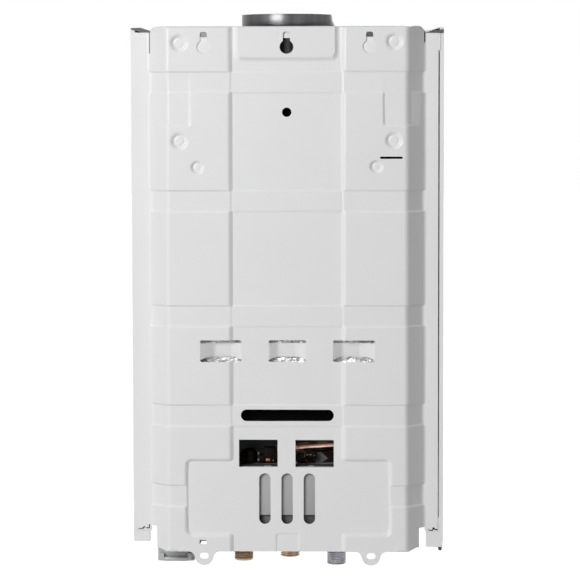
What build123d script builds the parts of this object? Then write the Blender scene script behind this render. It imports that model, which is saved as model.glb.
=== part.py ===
from build123d import *
import math
import os

# Wall-hung instantaneous propane water heater, in millimetres.
# Origin: centre of the middle keyhole on the wall plane. +Z is up, +Y leads from the wall to the
# front of the heater, and +X is to the right when the back is seen from the wall side.

# ---- driving dimensions -------------------------------------------------------------------------
sheet = 1.0                     # wall of the pressed steel panel and the cover
play = 0.3                      # clearance between pieces that must not touch
slip = 0.05                     # radial clearance of a running fit
seat = 0.1                      # radial clearance of a tube in a punched hole

# back panel
face_half = 128.0               # half width of the rear face
foot_half = 147.8               # half width where the sloping sides end
pan_depth = 20.0                # rear face to flange
pan_top = 22.1
pan_bottom = -542.0
flange_right_gap = 5.8          # from the edge of the cover
flange_left_gap = 0.4
flange_top = 16.0
flange_bottom = -519.0
flange_gap_bottom = -10.0       # gap between the flanges and the sides, from here up
step_in_z = -513.5              # below this the sloping sides are cut back
step_in = 5.8
pan_corner = 6.0                # rounding of the two upper corners
corner_cut_left = (-130.0, 2.8)  # where the slanted lower corners start, and how far they rise
corner_cut_right = (128.5, 4.8)
slit_width = 1.0                # bent-tab slits near the lower ends of the flanges
slit_rise = 3.0
flange_slit_z = -517.4
flange_slits = (2.5, 5.8, 7.4, 14.5)  # from the foot of the side: near slit, then far slit
band_depth = 1.6
band_slope = 1.8
bands = [(-25.2, -49.9), (-152.0, -176.7), (-275.6, -300.4), (-382.6, -407.9), (-469.7, -495.0)]
channel_half = 58.0             # flat floor of the central channel
channel_depth = 3.2
channel_band_depth = 2.3
channel_flare = 1.25
pad_half = 51.5                 # raised pad round the middle keyhole
pad_bottom = -11.0
pad_corner = 5.0
corner_pad_in = 104.5           # shallow recesses under the first band
corner_pad_bottom = -82.5
tee_left = -107.0               # floor of the wide lower recess
tee_right = 109.0
tee_top = -445.0
tee_bottom = -522.5
tee_corner = 5.0
foot_pad_half = 11.5            # small recess at the middle of the lower edge
foot_pad_depth = 0.9
foot_pad_top = -524.0
dimple_outer = 9.3
dimple_floor = 5.8
dimple_depth = 3.0
dimples = [(-115.0, 4.3), (114.7, 5.5), (-115.0, -100.0), (114.2, -99.4)]
small_dimple_outer = 7.2
small_dimple_floor = 4.4
small_dimples = [(-95.8, -128.0), (95.5, -127.4)]
keyhole_pitch = 88.5
keyhole_r = 7.3
keyhole_slot = 7.5
keyhole_top = 16.0
pilot_hole_r = 5.0
pilot_hole_z = -69.4
lance_bridges = [(-93.5, -49.1), (-20.1, 20.2), (49.2, 94.2)]
lance_top = -314.5
lance_strip_top = -317.0
lance_strip_bottom = -332.0
lance_bottom = -337.0
lance_depth = 6.0
slit_x = (99.7, 123.7)
slit_z = -118.0
slit_height = 3.5
long_slot_half = 50.0
long_slot_z = -394.8
long_slot_height = 12.6
window_outer = 51.0
window_inner = 9.6
window_top = -421.4
window_bottom = -450.9
vent_pitch = 24.0
vent_centre = 0.6
vent_width = 12.2
vent_top = -457.8
vent_bottom = -512.9
ear_x = 90.0
ear_hole_z = -548.0
ear_hole_length = 9.5
ear_hole_height = 6.5
ear_tip_r = 9.4
ear_tip_z = -547.8
ear_base_half = 15.5
ear_blend = 10.0
ear_foot = 30.0                 # half length of the strip that an ear grows from
square_hole = (-89.3, -532.0, 7.5, 5.0)

# front cover
cover_reach = 20.2              # from the foot of the sloping sides to the edge of the cover
cover_top = 21.0
cover_bottom = -535.0
cover_front = 155.0
cover_corner = 14.0
hem_width = 4.5
hem_drop = 5.5                  # the right tab and hem end this much lower
tab_gap = 1.5                   # from the foot of the sloping sides to the lower tabs
tab_height = 22.0
collar_gap = 4.0
rim = 16.0                      # folded lower edge of the cover's front
louvre_count = 7
louvre_pitch = 11.0
louvre_length = 60.0
louvre_height = 4.0
louvre_top = -330.0
louvre_y = 88.0
dip_depth = 3.8                 # shallow dip in the cover's top
dip_half = 151.0
dip_slope = 11.0
dip_margin = 22.0               # from the dip to the cover's front
tab_corner = 1.5
hem_inset = 0.5

# flue
flue_r = 51.0
flue_y = 80.0
flue_top = 36.0
flue_wall = 1.0
flue_step = 0.8
flue_bore = 49.5
flue_flange = 9.0
hood_top = -8.0
hood_top_half = 62.0
hood_knee = -48.0

# combustion chamber and heat exchanger
chamber_half = 105.0
chamber_back = 22.0
chamber_front = 132.0
chamber_top = -60.0
chamber_bottom = -330.0         # burner tray hangs from here
copper_wall = 1.0
fin_count = 15
fin_pitch = 13.0
fin_thick = 1.0
fin_height = 44.0
fin_margin = 3.0
tube_r = 8.0
tube_wall = 1.0
tube_count = 5
tube_pitch = 20.0
tube_z = -86.0
tube_overhang = 8.0

# burner
tray_height = 78.0
tray_wall = 1.2
tray_lip = 12.0                 # width of the ledge round the air opening
burner_count = 9
burner_pitch = 21.0
burner_width = 11.0
burner_drop = 18.0              # from the chamber to the tops of the burners
burner_height = 40.0
burner_front_gap = 8.0
burner_chamfer = 3.0
port_width = 3.0
port_length = 10.0
port_depth = 4.0
port_margin = 10.0
burner_mixer_r = 7.0
manifold_y = 143.0
manifold_drop = 36.0            # from the tops of the burners to the manifold
manifold_end = 14.0             # past the last burner
manifold_foot = 5.0
nozzle_r = 3.0
nozzle_head = 2.5
nozzle_length = 8.0
nozzle_bore_r = 0.6
mixer_wall = 1.2
burner_ports = 5
manifold_half = 8.0
manifold_wall = 1.5
nozzle_stud_r = 2.2
riser_x = -30.0
riser_r = 7.0
riser_bend = 15.0

# connections
thread_r = 10.48                # G1/2
thread_lead = 1.2
relief_r = 10.0
bore_r = 7.0
hot_x = -50.0
gas_x = 1.0
cold_x = 52.0
port_y = 60.0
hot_end = -565.0
gas_end = -560.0
cold_end = -569.0
shelf_top = -540.0              # plate that holds the three connections
shelf_depth = 88.0
shelf_half = 112.0
shelf_left = 99.0
hex_across = 27.0
hex_height = 6.0
locknut_height = 4.0
neck_r = 8.0
hot_neck_top = -526.0
gas_neck_top = -530.0
pipe_r = 6.5
pipe_bend = 11.0
pipe_y = 62.0
pipe_z = -433.0                 # copper run behind the right window
pipe_rise = 9.0
pipe_turn_x = 2.0
hot_drop_gap = 15.0             # from the ends of the exchanger tubes to the down-run
hot_jog_high = 6.0              # below the spindles, where the hot pipe crosses to its port
hot_jog_low = 44.0
cold_rise_gap = 9.0             # from the side of the chamber
cold_end_gap = 13.0             # from the ends of the exchanger tubes
cold_crossing = 19.0            # above the water valve
cold_bends = (-270.0, -262.0, -232.0, -222.0)
cold_front_gap = 3.0
cutoff_z = -210.0
cutoff_height = 12.0
cutoff_half = 5.0
cutoff_reach = 6.0
cutoff_disc_r = 6.0
shelf_lip = 8.0
shelf_gap = (14.0, 46.0)        # opening in the lip, left of the gas port and right of the cold one

# valves and controls
knob_pitch = 74.0
spindle_z = -457.0
spindle_r = 3.0
bar_back = 70.0
bar_front = 106.0
bar_top = -443.0
bar_bottom = -471.0
stem_x = 40.0
stem_y = 92.0
stem_r = 2.5
diaphragm_r = 23.0
water_top = -497.0
water_bottom = -523.0
knob_r = 19.0
knob_height = 17.0
knob_flutes = 10
knob_gap = 0.6
bar_half = 94.0
gas_leg_back = 74.0
seat_z = -467.0
chamber_r = 12.0
cap_height = 16.0
plate_z = -522.7
stem_plate_r = 14.0
stem_seal_r = 10.0
collar_z = -485.5
collar_r = 8.0
spring_r = 7.5
spring_wire = 0.8
spring_turns = 5
tower_y = 88.0
tower_top = -440.0
water_cavity_r = 17.0
water_cavity_height = 22.0
diaphragm_thick = 1.6
drain_x = 78.0
drain_y = 97.0
drain_stud_r = 4.0
drain_stud_length = 10.0
inner_port_depth = 10.0         # blind ends of the bores inside the valve bodies
switch_y = 68.0
lever_x = 45.2
lever_width = 4.0
lever_y = 64.0
lever_z = -486.1
lever_end_y = 93.0
lever_pin_r = 0.7
strip_height = 96.0
strip_top = -421.0
strip_depth = 3.0
strip_margin = 26.0             # from the edge of the cover to the control strip
display_half = 30.0
display_height = 22.0
display_rise = 20.0             # from the foot of the strip
view_rise = 6.0                 # from the tops of the burners to the middle of the window
view_width = 56.0
view_height = 34.0
spindle_hole_r = 7.0
plug_r = 6.0
plug_back = 84.0
plug_boss = 4.0
gland_half = 9.0
gland_thick = 2.0
gas_leg_half = 13.0
gas_foot_height = 18.0
seal_thick = 3.0
stem_plate_thick = 2.0
cap_wall = 1.5
cap_flange = 2.0
tower_half = 14.0
tower_back = 76.0
inlet_height = 14.0
cover_disc_height = 8.0
cover_disc_rise = 3.0
drain_r = 7.0
drain_height = 16.0
drain_grooves = 8
drain_groove_r = 1.6
switch_half = 10.0
switch_height = 6.5
switch_foot_half = 12.0
switch_cheek = 2.0
lever_thick = 0.6
knob_skirt = 4.0
knob_step = 3.0
flute_r = 4.2
pointer_width = 1.6
pointer_depth = 0.8
spindle_in_knob = 8.0

# electrics
igniter_left = -52.0
igniter_right = 57.0
igniter_back = 30.0
igniter_front = 52.0
igniter_top = -452.0
igniter_bottom = -508.0
battery_left = -143.5
battery_right = -103.5
battery_back = 42.0
battery_front = 118.0
battery_top = -482.0
battery_bottom = -560.0
battery_wall = 1.5
battery_corner = 2.0
battery_foot = 11.0             # bracket between the box and the panel
battery_head = 12.0
battery_bracket_high = -500.0
battery_bracket_low = -536.0
cell_r = 16.8
cell_height = 61.0
box_bottom = -556.3
door_top = -556.6
hinge_y = 38.5
hinge_z = -557.0
hinge_half = 13.0
hinge_pin_r = 1.2
contact_half = 10.0
door_contact_half = 6.0
coil_r = 5.0
coil_bore_r = 4.0
electrode_places = (36.0, 56.0)
ceramic_r = 3.0
ceramic_length = 26.0
ceramic_depth = 14.0            # behind the front of the tray
electrode_r = 0.9
electrode_reach = 34.0
lead_r = 1.2
lead_inset = 1.0                # down-run of the ignition lead, from the side of the chamber
lead_front = 14.0
lead_drop = -418.0
lead_turn_x = (102.0, 82.0)
lead_turn_z = (-447.0, -449.0)
lead_port_height = (16.0, 14.0)  # ignition and battery lead above the foot of the igniter box
battery_lead_x = (-84.0, -70.0)
battery_lead_drop = 12.0        # below the top of the battery box
igniter_corner = 3.0
igniter_edge = 1.5
igniter_ear = 13.0
igniter_ear_half = 8.0
igniter_ear_thick = 3.0
post_r = 4.0
post_bore_r = 2.0
shield_half = 98.0
shield_back = 15.0
shield_top = -100.0
shield_thick = 5.0              # of the apron below the chamber
shield_drop = 12.0
bracket_x = 96.0
bracket_high = -94.0
bracket_low = -262.0
bracket_height = 24.0
bracket_half = 6.0
bracket_web = 1.2
hanger_y = 8.0
hanger_bottom = -20.0
hanger_top = 10.0
hanger_half = 15.0
clip_width = 5.0
clip_depth = 6.0
clip_drop = 5.5
clip_rise = 12.0


# ---- helpers --------------------------------------------------------------------------------------
def block(x0, x1, y0, y1, z0, z1):
    size = (abs(x1 - x0), abs(y1 - y0), abs(z1 - z0))
    return Pos((x0 + x1) / 2, (y0 + y1) / 2, (z0 + z1) / 2) * Box(*size)


def rod(axis, start, radius, length):
    """Cylinder from start along axis, a tuple such as (0, 1, 0)."""
    centred = (Align.CENTER, Align.CENTER, Align.MIN)
    return Plane(origin=start, z_dir=axis) * Cylinder(radius, length, align=centred)


def tube(axis, start, outer, inner, length):
    return rod(axis, start, outer, length) - rod(axis, start, inner, length)


def wall_plane(y):
    """Sketch plane at depth y whose local axes are X and Z, extruded towards the wall."""
    return Plane(origin=(0, y, 0), x_dir=(1, 0, 0), z_dir=(0, -1, 0))


def plate(sketch, y, thickness):
    """Flat plate from y to y + thickness, drawn in X and Z."""
    return extrude(wall_plane(y) * sketch, -thickness)


def pipe(points, bend, outer, inner):
    path = FilletPolyline(*points, radius=bend)
    section = Plane(origin=path @ 0, z_dir=path % 0)
    return sweep(section * Circle(outer), path) - sweep(section * Circle(inner), path)


def hexagon(x, y, z, height):
    return Pos(x, y, z) * extrude(RegularPolygon(hex_across / 2, 6, major_radius=False), height)


def solids_of(*shapes):
    found = []
    for shape in shapes:
        found += shape.solids()
    return found


pieces = {}


def keep(name, *shapes):
    pieces[name] = Compound(children=solids_of(*shapes))


# ---- derived sizes --------------------------------------------------------------------------------
side_slope = (foot_half - face_half) / pan_depth
side_cosine = math.hypot(1.0, side_slope)
cover_half = foot_half + cover_reach
flange_right = cover_half - flange_right_gap
flange_left = -cover_half + flange_left_gap
step_in_half = foot_half - step_in
tab_inner = foot_half + tab_gap
strip_half = cover_half - strip_margin
flange_back = pan_depth + sheet
tray_top = chamber_bottom
tray_bottom = tray_top - tray_height
burner_top = tray_top - burner_drop
manifold_z = burner_top - manifold_drop
view_z = burner_top + view_rise
display_z = strip_top - strip_height + display_rise
knob_places = (-knob_pitch, 0.0, knob_pitch)
knob_back = cover_front + strip_depth + knob_gap
knob_front = knob_back + knob_height
tube_first = (chamber_back + chamber_front) / 2 - tube_pitch * (tube_count - 1) / 2
tube_places = [tube_first + n * tube_pitch for n in range(tube_count)]
tube_reach = chamber_half + tube_overhang
hot_drop_x = tube_reach + hot_drop_gap
cold_rise_x = chamber_half + cold_rise_gap
cold_end_x = tube_reach + cold_end_gap
lead_x = chamber_half - lead_inset
burner_places = [burner_pitch * (n - (burner_count - 1) / 2) for n in range(burner_count)]
nut_bottom = pan_bottom + sheet - locknut_height
igniter_mid_x = (igniter_left + igniter_right) / 2
igniter_mid_y = (igniter_back + igniter_front) / 2
igniter_mid_z = (igniter_top + igniter_bottom) / 2
battery_x = (battery_left + battery_right) / 2
battery_y = (battery_back + battery_front) / 2
cell_y = (battery_y - cell_r - 0.8, battery_y + cell_r + 0.8)


# ---- back panel -----------------------------------------------------------------------------------
def pan_section(z, inset, back):
    front_half = face_half + inset * (side_slope - side_cosine)
    back_half = face_half + back * side_slope - inset * side_cosine
    outline = Polyline(
        (-front_half, inset), (front_half, inset), (back_half, back), (-back_half, back), close=True
    )
    return Pos(0, 0, z) * make_face(outline)


def channel_section(z, depth, inset):
    floor = depth + inset
    half = channel_half + (channel_depth - depth) * channel_flare + 0.35 * inset
    lip = half + (floor + 3.0) * channel_flare
    outline = Polyline((-lip, -3.0), (lip, -3.0), (half, floor), (-half, floor), close=True)
    return Pos(0, 0, z) * make_face(outline)


def levels(top, bottom, plain, banded):
    """(z, depth) pairs from top to bottom, with a short slope at each edge of each band."""
    found = [(top, plain)]
    for upper, lower in bands:
        found += [
            (upper, plain),
            (upper - band_slope, banded),
            (lower + band_slope, banded),
            (lower, plain),
        ]
    return found + [(bottom, plain)]


def pocket(left, right, bottom, top, floor, corner):
    """Recess that opens at 45 degrees towards the wall, drawn at its floor."""
    outline = Pos((left + right) / 2, (bottom + top) / 2) * RectangleRounded(
        right - left, top - bottom, corner
    )
    return extrude(wall_plane(floor) * outline, floor + 2.0, taper=-45)


def dimple(x, z, outer, inner, inset):
    flare = (outer - inner) / dimple_depth
    reach = dimple_depth + 2.0
    cone = Cone(inner, inner + flare * reach, reach)
    return Pos(x, dimple_depth + inset - reach / 2, z) * Rot(X=90) * cone


def pan_block(inset, back, top, bottom):
    """The panel as a closed block whose skin lies inset behind the real one."""
    sections = [pan_section(z, inset + d, back) for z, d in levels(top, bottom, 0.0, band_depth)]
    body = loft(sections, ruled=True)
    spans = levels(top + 5, bottom - 5, channel_depth, channel_band_depth)
    body -= loft([channel_section(z, d, inset) for z, d in spans[:-5]] + [
        channel_section(bottom - 5, channel_depth, inset)], ruled=True)
    pad = Pos(0, (pad_bottom + top) / 2) * RectangleRounded(
        2 * pad_half - 0.5 * inset, top - pad_bottom, pad_corner
    )
    pad += Pos(0, top - 5) * Rectangle(2 * pad_half - 0.5 * inset, 10)
    body += extrude(wall_plane(inset) * pad, -(channel_depth + 1.0), taper=-50) & block(
        -90, 90, 0, back, bottom, top
    )
    body -= pocket(tee_left, tee_right, tee_bottom, tee_top, channel_depth + inset, tee_corner)
    for side in (-1, 1):
        inner, outer = sorted((side * corner_pad_in, side * (face_half + 8)))
        body -= pocket(inner, outer, corner_pad_bottom, bands[0][0] - 10, band_depth + inset, 2.0)
    body -= pocket(
        -foot_pad_half, foot_pad_half, bottom - 20, foot_pad_top,
        channel_depth + foot_pad_depth + inset, 2.0
    )
    for x, z in dimples:
        body -= dimple(x, z, dimple_outer, dimple_floor, inset)
    for x, z in small_dimples:
        body -= dimple(x, z, small_dimple_outer, small_dimple_floor, inset)
    centre_z = pan_top - pan_corner
    for side in (-1, 1):
        centre_x = side * (foot_half - pan_corner)
        corner = block(centre_x, side * (foot_half + 5), -2, back + 2, centre_z, pan_top + 5)
        body -= corner - rod((0, 1, 0), (centre_x, -3, centre_z), pan_corner - inset, back + 6)
    return body


def keyhole(x):
    slot_length = keyhole_top - keyhole_slot / 2
    outline = Pos(x, 0) * Circle(keyhole_r)
    outline += Pos(x, slot_length / 2) * Rectangle(keyhole_slot, slot_length)
    outline += Pos(x, slot_length) * Circle(keyhole_slot / 2)
    return plate(outline, -2, 30)


def ear(x):
    strip = Pos(x, pan_bottom + 3) * Rectangle(2 * ear_foot, 6)
    drop = make_hull(
        (Pos(x, ear_tip_z) * Circle(ear_tip_r)).edges()
        + (Pos(x, pan_bottom + 2) * Rectangle(2 * ear_base_half, 4)).edges()
    )
    outline = strip + drop
    corners = [
        v for v in outline.vertices() if abs(v.Y - pan_bottom) < 0.01 and abs(v.X - x) < ear_foot - 1
    ]
    outline = fillet(corners, ear_blend)
    outline -= Pos(x, ear_hole_z) * SlotOverall(ear_hole_length, ear_hole_height)
    return plate(outline, 0, sheet)


def lance(left, right):
    """Opening above and below a strip that is pressed inwards between them."""
    opening = block(left, right, -2, 12, lance_bottom, lance_top)
    depth_left = 0 if left < -channel_half else channel_depth
    depth_right = 0 if right > channel_half else channel_depth
    inner_y = max(depth_left, depth_right) + lance_depth
    run_left = inner_y - depth_left
    run_right = inner_y - depth_right
    outline = Polyline(
        (left - 1, depth_left), (left, depth_left), (left + run_left, inner_y),
        (right - run_right, inner_y), (right, depth_right), (right + 1, depth_right),
        (right + 1, depth_right + sheet), (right + 0.4, depth_right + sheet),
        (right - run_right + 0.4, inner_y + sheet), (left + run_left - 0.4, inner_y + sheet),
        (left - 0.4, depth_left + sheet), (left - 1, depth_left + sheet), close=True
    )
    strip = Pos(0, 0, lance_strip_bottom) * extrude(
        make_face(outline), lance_strip_top - lance_strip_bottom
    )
    return opening, strip


def corner_cut(start, rise, side):
    """Wedge that slants the lower end of a sloping side."""
    end = side * (foot_half + 1)
    high = (side * (step_in_half - step_in), pan_bottom + rise)
    outline = Polyline(
        (start, pan_bottom - 1), (start, pan_bottom), high,
        (end, pan_bottom + rise), (end, pan_bottom - 1), close=True
    )
    return plate(make_face(outline), -2, pan_depth + 5)


def flange_slit_cuts():
    """Two short slits each side, the near one with an upturned end."""
    near_in, near_out, far_in, far_out = [foot_half + d for d in flange_slits]
    cuts = []
    for side in (-1, 1):
        for x0, x1 in ((near_in, near_out), (far_in, far_out)):
            slit = Pos(side * (x0 + x1) / 2, flange_slit_z) * Rectangle(x1 - x0, slit_width)
            cuts.append(plate(slit, pan_depth - 1, 4))
        leg = Pos(side * (near_in + slit_width / 2), flange_slit_z + slit_rise / 2)
        cuts.append(plate(leg * Rectangle(slit_width, slit_rise), pan_depth - 1, 4))
    return cuts


def make_back_panel():
    outer = pan_block(0.0, pan_depth, pan_top, pan_bottom)
    flange_height = flange_top - flange_bottom
    for edge in (flange_left, flange_right):
        x0, x1 = sorted((edge, math.copysign(step_in_half - 4, edge)))
        flange = Pos((x0 + x1) / 2, (flange_top + flange_bottom) / 2) * RectangleRounded(
            x1 - x0, flange_height, 2.0
        )
        outer += plate(flange, pan_depth, sheet)
    panel = outer - pan_block(sheet, flange_back + 1, pan_top - sheet, pan_bottom + sheet)
    for side in (-1, 1):
        x0, x1 = sorted((side * step_in_half, side * (foot_half + 30)))
        panel -= block(x0, x1, -1, pan_depth, pan_bottom - 5, step_in_z)
        x0, x1 = sorted((side * (step_in_half - 12), side * (foot_half + 0.2)))
        panel -= block(x0, x1, pan_depth, flange_back + 1, pan_bottom - 5, step_in_z)
        x0, x1 = sorted((side * (foot_half - 0.9), side * (foot_half + 0.6)))
        panel -= block(x0, x1, pan_depth - 2, flange_back + 1, flange_gap_bottom, pan_top + 5)
    for x in (-keyhole_pitch, 0, keyhole_pitch):
        panel -= keyhole(x)
    panel -= plate(Pos(0, pilot_hole_z) * Circle(pilot_hole_r), -2, 20)
    for left, right in lance_bridges:
        opening, strip = lance(left, right)
        panel = panel - opening + strip
    slit = Pos(sum(slit_x) / 2, slit_z) * Ellipse((slit_x[1] - slit_x[0]) / 2, slit_height / 2)
    panel -= plate(slit, -2, 20)
    panel -= plate(
        Pos(0, long_slot_z) * SlotOverall(2 * long_slot_half, long_slot_height), -2, 15
    )
    window_mid = (window_outer + window_inner) / 2
    for side in (-1, 1):
        window = Pos(side * window_mid, (window_top + window_bottom) / 2) * RectangleRounded(
            window_outer - window_inner, window_top - window_bottom, 1.0
        )
        panel -= plate(window, -2, 15)
    for n in (-1, 0, 1):
        vent = Pos(vent_centre + n * vent_pitch, (vent_top + vent_bottom) / 2) * SlotOverall(
            vent_top - vent_bottom, vent_width, rotation=90
        )
        panel -= plate(vent, -2, 15)
    x, z, width, height = square_hole
    panel -= plate(Pos(x, z) * Rectangle(width, height), -2, 15)
    panel -= corner_cut(*corner_cut_left, -1)
    panel -= corner_cut(*corner_cut_right, 1)
    for cut in flange_slit_cuts():
        panel -= cut
    for side in (-1, 1):
        panel += ear(side * ear_x)
    return panel


# ---- front cover ----------------------------------------------------------------------------------
def dip_outline(below):
    """Section of the shallow dip in the cover's top, or of the sheet under it."""
    floor = cover_top - dip_depth - below
    edge = dip_half + dip_slope + below
    high = cover_top + 1 if below == 0 else cover_top - sheet / 2
    return make_face(Polyline(
        (-edge, high), (-edge, cover_top - below), (-dip_half, floor),
        (dip_half, floor), (edge, cover_top - below), (edge, high), close=True
    ))


def make_front_cover():
    mid = (cover_front + flange_back) / 2
    depth = cover_front - flange_back

    def shell_block(inset, top, bottom):
        outline = Pos(0, mid) * Rectangle(2 * (cover_half - inset), depth - 2 * inset)
        front = [v for v in outline.vertices() if v.Y > mid]
        outline = fillet(front, cover_corner - inset)
        return Pos(0, 0, bottom) * extrude(outline, top - bottom)

    cover = shell_block(0, cover_top, cover_bottom)
    hollow = shell_block(sheet, cover_top - sheet, cover_bottom - 1)
    hollow += block(
        -cover_half + sheet, cover_half - sheet, pan_depth, mid, cover_bottom - 1, cover_top - sheet
    )
    cover -= hollow
    dip_length = depth - dip_margin
    cover += plate(dip_outline(sheet), flange_back, dip_length + sheet)
    cover -= plate(dip_outline(0.0), flange_back - 1, dip_length + 1)
    for side in (-1, 1):
        x0, x1 = sorted((side * (cover_half - hem_width), side * (cover_half - hem_inset)))
        low = cover_bottom - hem_drop if side > 0 else cover_bottom
        cover += block(x0, x1, flange_back, flange_back + sheet, low, cover_top - hem_inset)
        x0, x1 = sorted((side * tab_inner, side * (cover_half - hem_inset)))
        tab = Pos((x0 + x1) / 2, low + tab_height / 2) * RectangleRounded(
            x1 - x0, tab_height, tab_corner
        )
        cover += plate(tab, flange_back, sheet)
    for cut in flange_slit_cuts():
        cover -= cut
    cover += block(
        -cover_half + cover_corner, cover_half - cover_corner,
        cover_front - rim, cover_front - hem_inset, cover_bottom, cover_bottom + sheet
    )
    cover -= rod((0, 0, 1), (0, flue_y, cover_top - 10), flue_r + collar_gap, 15)
    window = Pos(0, view_z) * RectangleRounded(view_width - 8, view_height - 8, 4)
    cover -= plate(window, cover_front - 5, 10)
    for x in knob_places:
        cover -= rod((0, 1, 0), (x, cover_front - 5, spindle_z), spindle_hole_r, 10)
    for side in (-1, 1):
        for n in range(louvre_count):
            z = louvre_top - n * louvre_pitch
            slot = block(
                side * (cover_half - 5), side * (cover_half + 5),
                louvre_y - louvre_length / 2, louvre_y + louvre_length / 2,
                z - louvre_height, z
            )
            cover -= slot
    return cover


def make_window_pane():
    pane = Pos(0, view_z) * RectangleRounded(view_width - 8 - 2 * play, view_height - 8 - 2 * play, 3.7)
    return plate(pane, cover_front - sheet, sheet)


def make_window_frame():
    ring = Pos(0, view_z) * RectangleRounded(view_width, view_height, 7)
    ring -= Pos(0, view_z) * RectangleRounded(view_width - 12, view_height - 12, 3)
    return plate(ring, cover_front, 2.0)


def make_control_strip():
    strip = Pos(0, strip_top - strip_height / 2) * RectangleRounded(2 * strip_half, strip_height, 10)
    strip -= Pos(0, display_z) * RectangleRounded(2 * display_half, display_height, 3)
    for x in knob_places:
        strip -= Pos(x, spindle_z) * Circle(spindle_hole_r)
    return plate(strip, cover_front, strip_depth)


def make_display_lens():
    lens = Pos(0, display_z) * RectangleRounded(
        2 * (display_half - play), display_height - 2 * play, 3 - play
    )
    return plate(lens, cover_front, strip_depth - 0.6)


# ---- flue -----------------------------------------------------------------------------------------
def make_flue_collar():
    """Spigot for the flue pipe, stepped in below the pipe's stop, on a flange on the hood."""
    stop_z = cover_top + 1.0
    base = (0, flue_y, hood_top)
    up = (0, 0, 1)
    collar = rod(up, base, flue_r - flue_step, flue_top - hood_top)
    collar += rod(up, (0, flue_y, stop_z), flue_r, flue_top - stop_z)
    collar += rod(up, base, flue_r + flue_flange, flue_wall)
    return collar - rod(up, (0, flue_y, hood_top - 1), flue_bore, flue_top - hood_top + 2)


def hood_block(inset):
    def level(z, half_x, back, front):
        outline = Pos(0, (back + front) / 2) * Rectangle(2 * (half_x - inset), front - back - 2 * inset)
        return Pos(0, 0, z) * outline

    low = level(chamber_top, chamber_half, chamber_back, chamber_front)
    knee = level(hood_knee, chamber_half, chamber_back, chamber_front)
    high = level(hood_top - inset, hood_top_half, flue_y - hood_top_half + 4, flue_y + hood_top_half - 4)
    return loft([low, knee], ruled=True) + loft([knee, high], ruled=True)


def make_flue_hood():
    hood = hood_block(0) - hood_block(flue_wall)
    hood -= rod((0, 0, 1), (0, flue_y, hood_top - 5), flue_bore, 10)
    return hood


# ---- combustion chamber and exchanger -----------------------------------------------------------
def make_chamber():
    chamber = block(
        -chamber_half, chamber_half, chamber_back, chamber_front, chamber_bottom, chamber_top
    )
    chamber -= block(
        -chamber_half + copper_wall, chamber_half - copper_wall,
        chamber_back + copper_wall, chamber_front - copper_wall,
        chamber_bottom - 1, chamber_top + 1
    )
    for y in tube_places:
        chamber -= rod(
            (1, 0, 0), (-chamber_half - 5, y, tube_z), tube_r + seat, 2 * chamber_half + 10
        )
    return chamber


def make_fins():
    fins = []
    first = -fin_pitch * (fin_count - 1) / 2
    for n in range(fin_count):
        x = first + n * fin_pitch
        fin = block(
            x - fin_thick / 2, x + fin_thick / 2,
            chamber_back + fin_margin, chamber_front - fin_margin,
            tube_z - fin_height / 2, tube_z + fin_height / 2
        )
        for y in tube_places:
            fin -= rod((1, 0, 0), (x - 5, y, tube_z), tube_r + seat, 10)
        fins.append(fin)
    return fins


def make_exchanger_tubes():
    """One serpentine: straight tubes joined by half-round bends outside the chamber."""
    inner = tube_r - tube_wall
    lines = []
    for n, y in enumerate(tube_places):
        ends = ((-tube_reach, y, tube_z), (tube_reach, y, tube_z))
        start, end = ends if n % 2 == 0 else ends[::-1]
        lines.append(Line(start, end))
        if n + 1 < tube_count:
            side = 1 if n % 2 == 0 else -1
            middle = (end[0] + side * tube_pitch / 2, y + tube_pitch / 2, tube_z)
            lines.append(ThreePointArc(end, middle, (end[0], y + tube_pitch, tube_z)))
    path = Wire(lines)
    section = Plane(origin=path @ 0, z_dir=path % 0)
    return sweep(section * Circle(tube_r), path) - sweep(section * Circle(inner), path)


# ---- burner ---------------------------------------------------------------------------------------
def make_tray():
    tray = block(
        -chamber_half, chamber_half, chamber_back, chamber_front, tray_bottom, tray_top
    )
    tray -= block(
        -chamber_half + tray_wall, chamber_half - tray_wall, chamber_back + tray_wall,
        chamber_front - tray_wall, tray_bottom + tray_wall, tray_top + 1
    )
    tray -= block(
        -chamber_half + tray_lip, chamber_half - tray_lip, chamber_back + tray_lip,
        chamber_front - tray_lip, tray_bottom - 1, tray_bottom + 5
    )
    for x in burner_places:
        tray -= rod((0, 1, 0), (x, chamber_front - 5, manifold_z), burner_mixer_r + seat, 10)
    opening = Pos(0, view_z) * RectangleRounded(view_width - 12, 14, 3)
    tray -= plate(opening, chamber_front - 5, 10)
    for x in electrode_places:
        tray -= rod((0, 1, 0), (x, chamber_front - 5, view_z), ceramic_r + seat, 10)
    return tray


def make_burner(x):
    back = chamber_back + tray_wall
    front = chamber_front - burner_front_gap
    bar = block(
        x - burner_width / 2, x + burner_width / 2, back, front,
        burner_top - burner_height, burner_top
    )
    bar = chamfer(bar.edges().filter_by(Axis.Y).group_by(Axis.Z)[-1], burner_chamfer)
    for n in range(burner_ports):
        y = back + port_margin + n * (front - back - 2 * port_margin) / (burner_ports - 1)
        bar -= block(
            x - port_width / 2, x + port_width / 2, y - port_length / 2, y + port_length / 2,
            burner_top - port_depth, burner_top + 1
        )
    bar += rod((0, 1, 0), (x, front - 2, manifold_z), burner_mixer_r, chamber_front + 4 - front)
    bar -= rod((0, 1, 0), (x, front, manifold_z), burner_mixer_r - mixer_wall, 20)
    return bar


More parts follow.
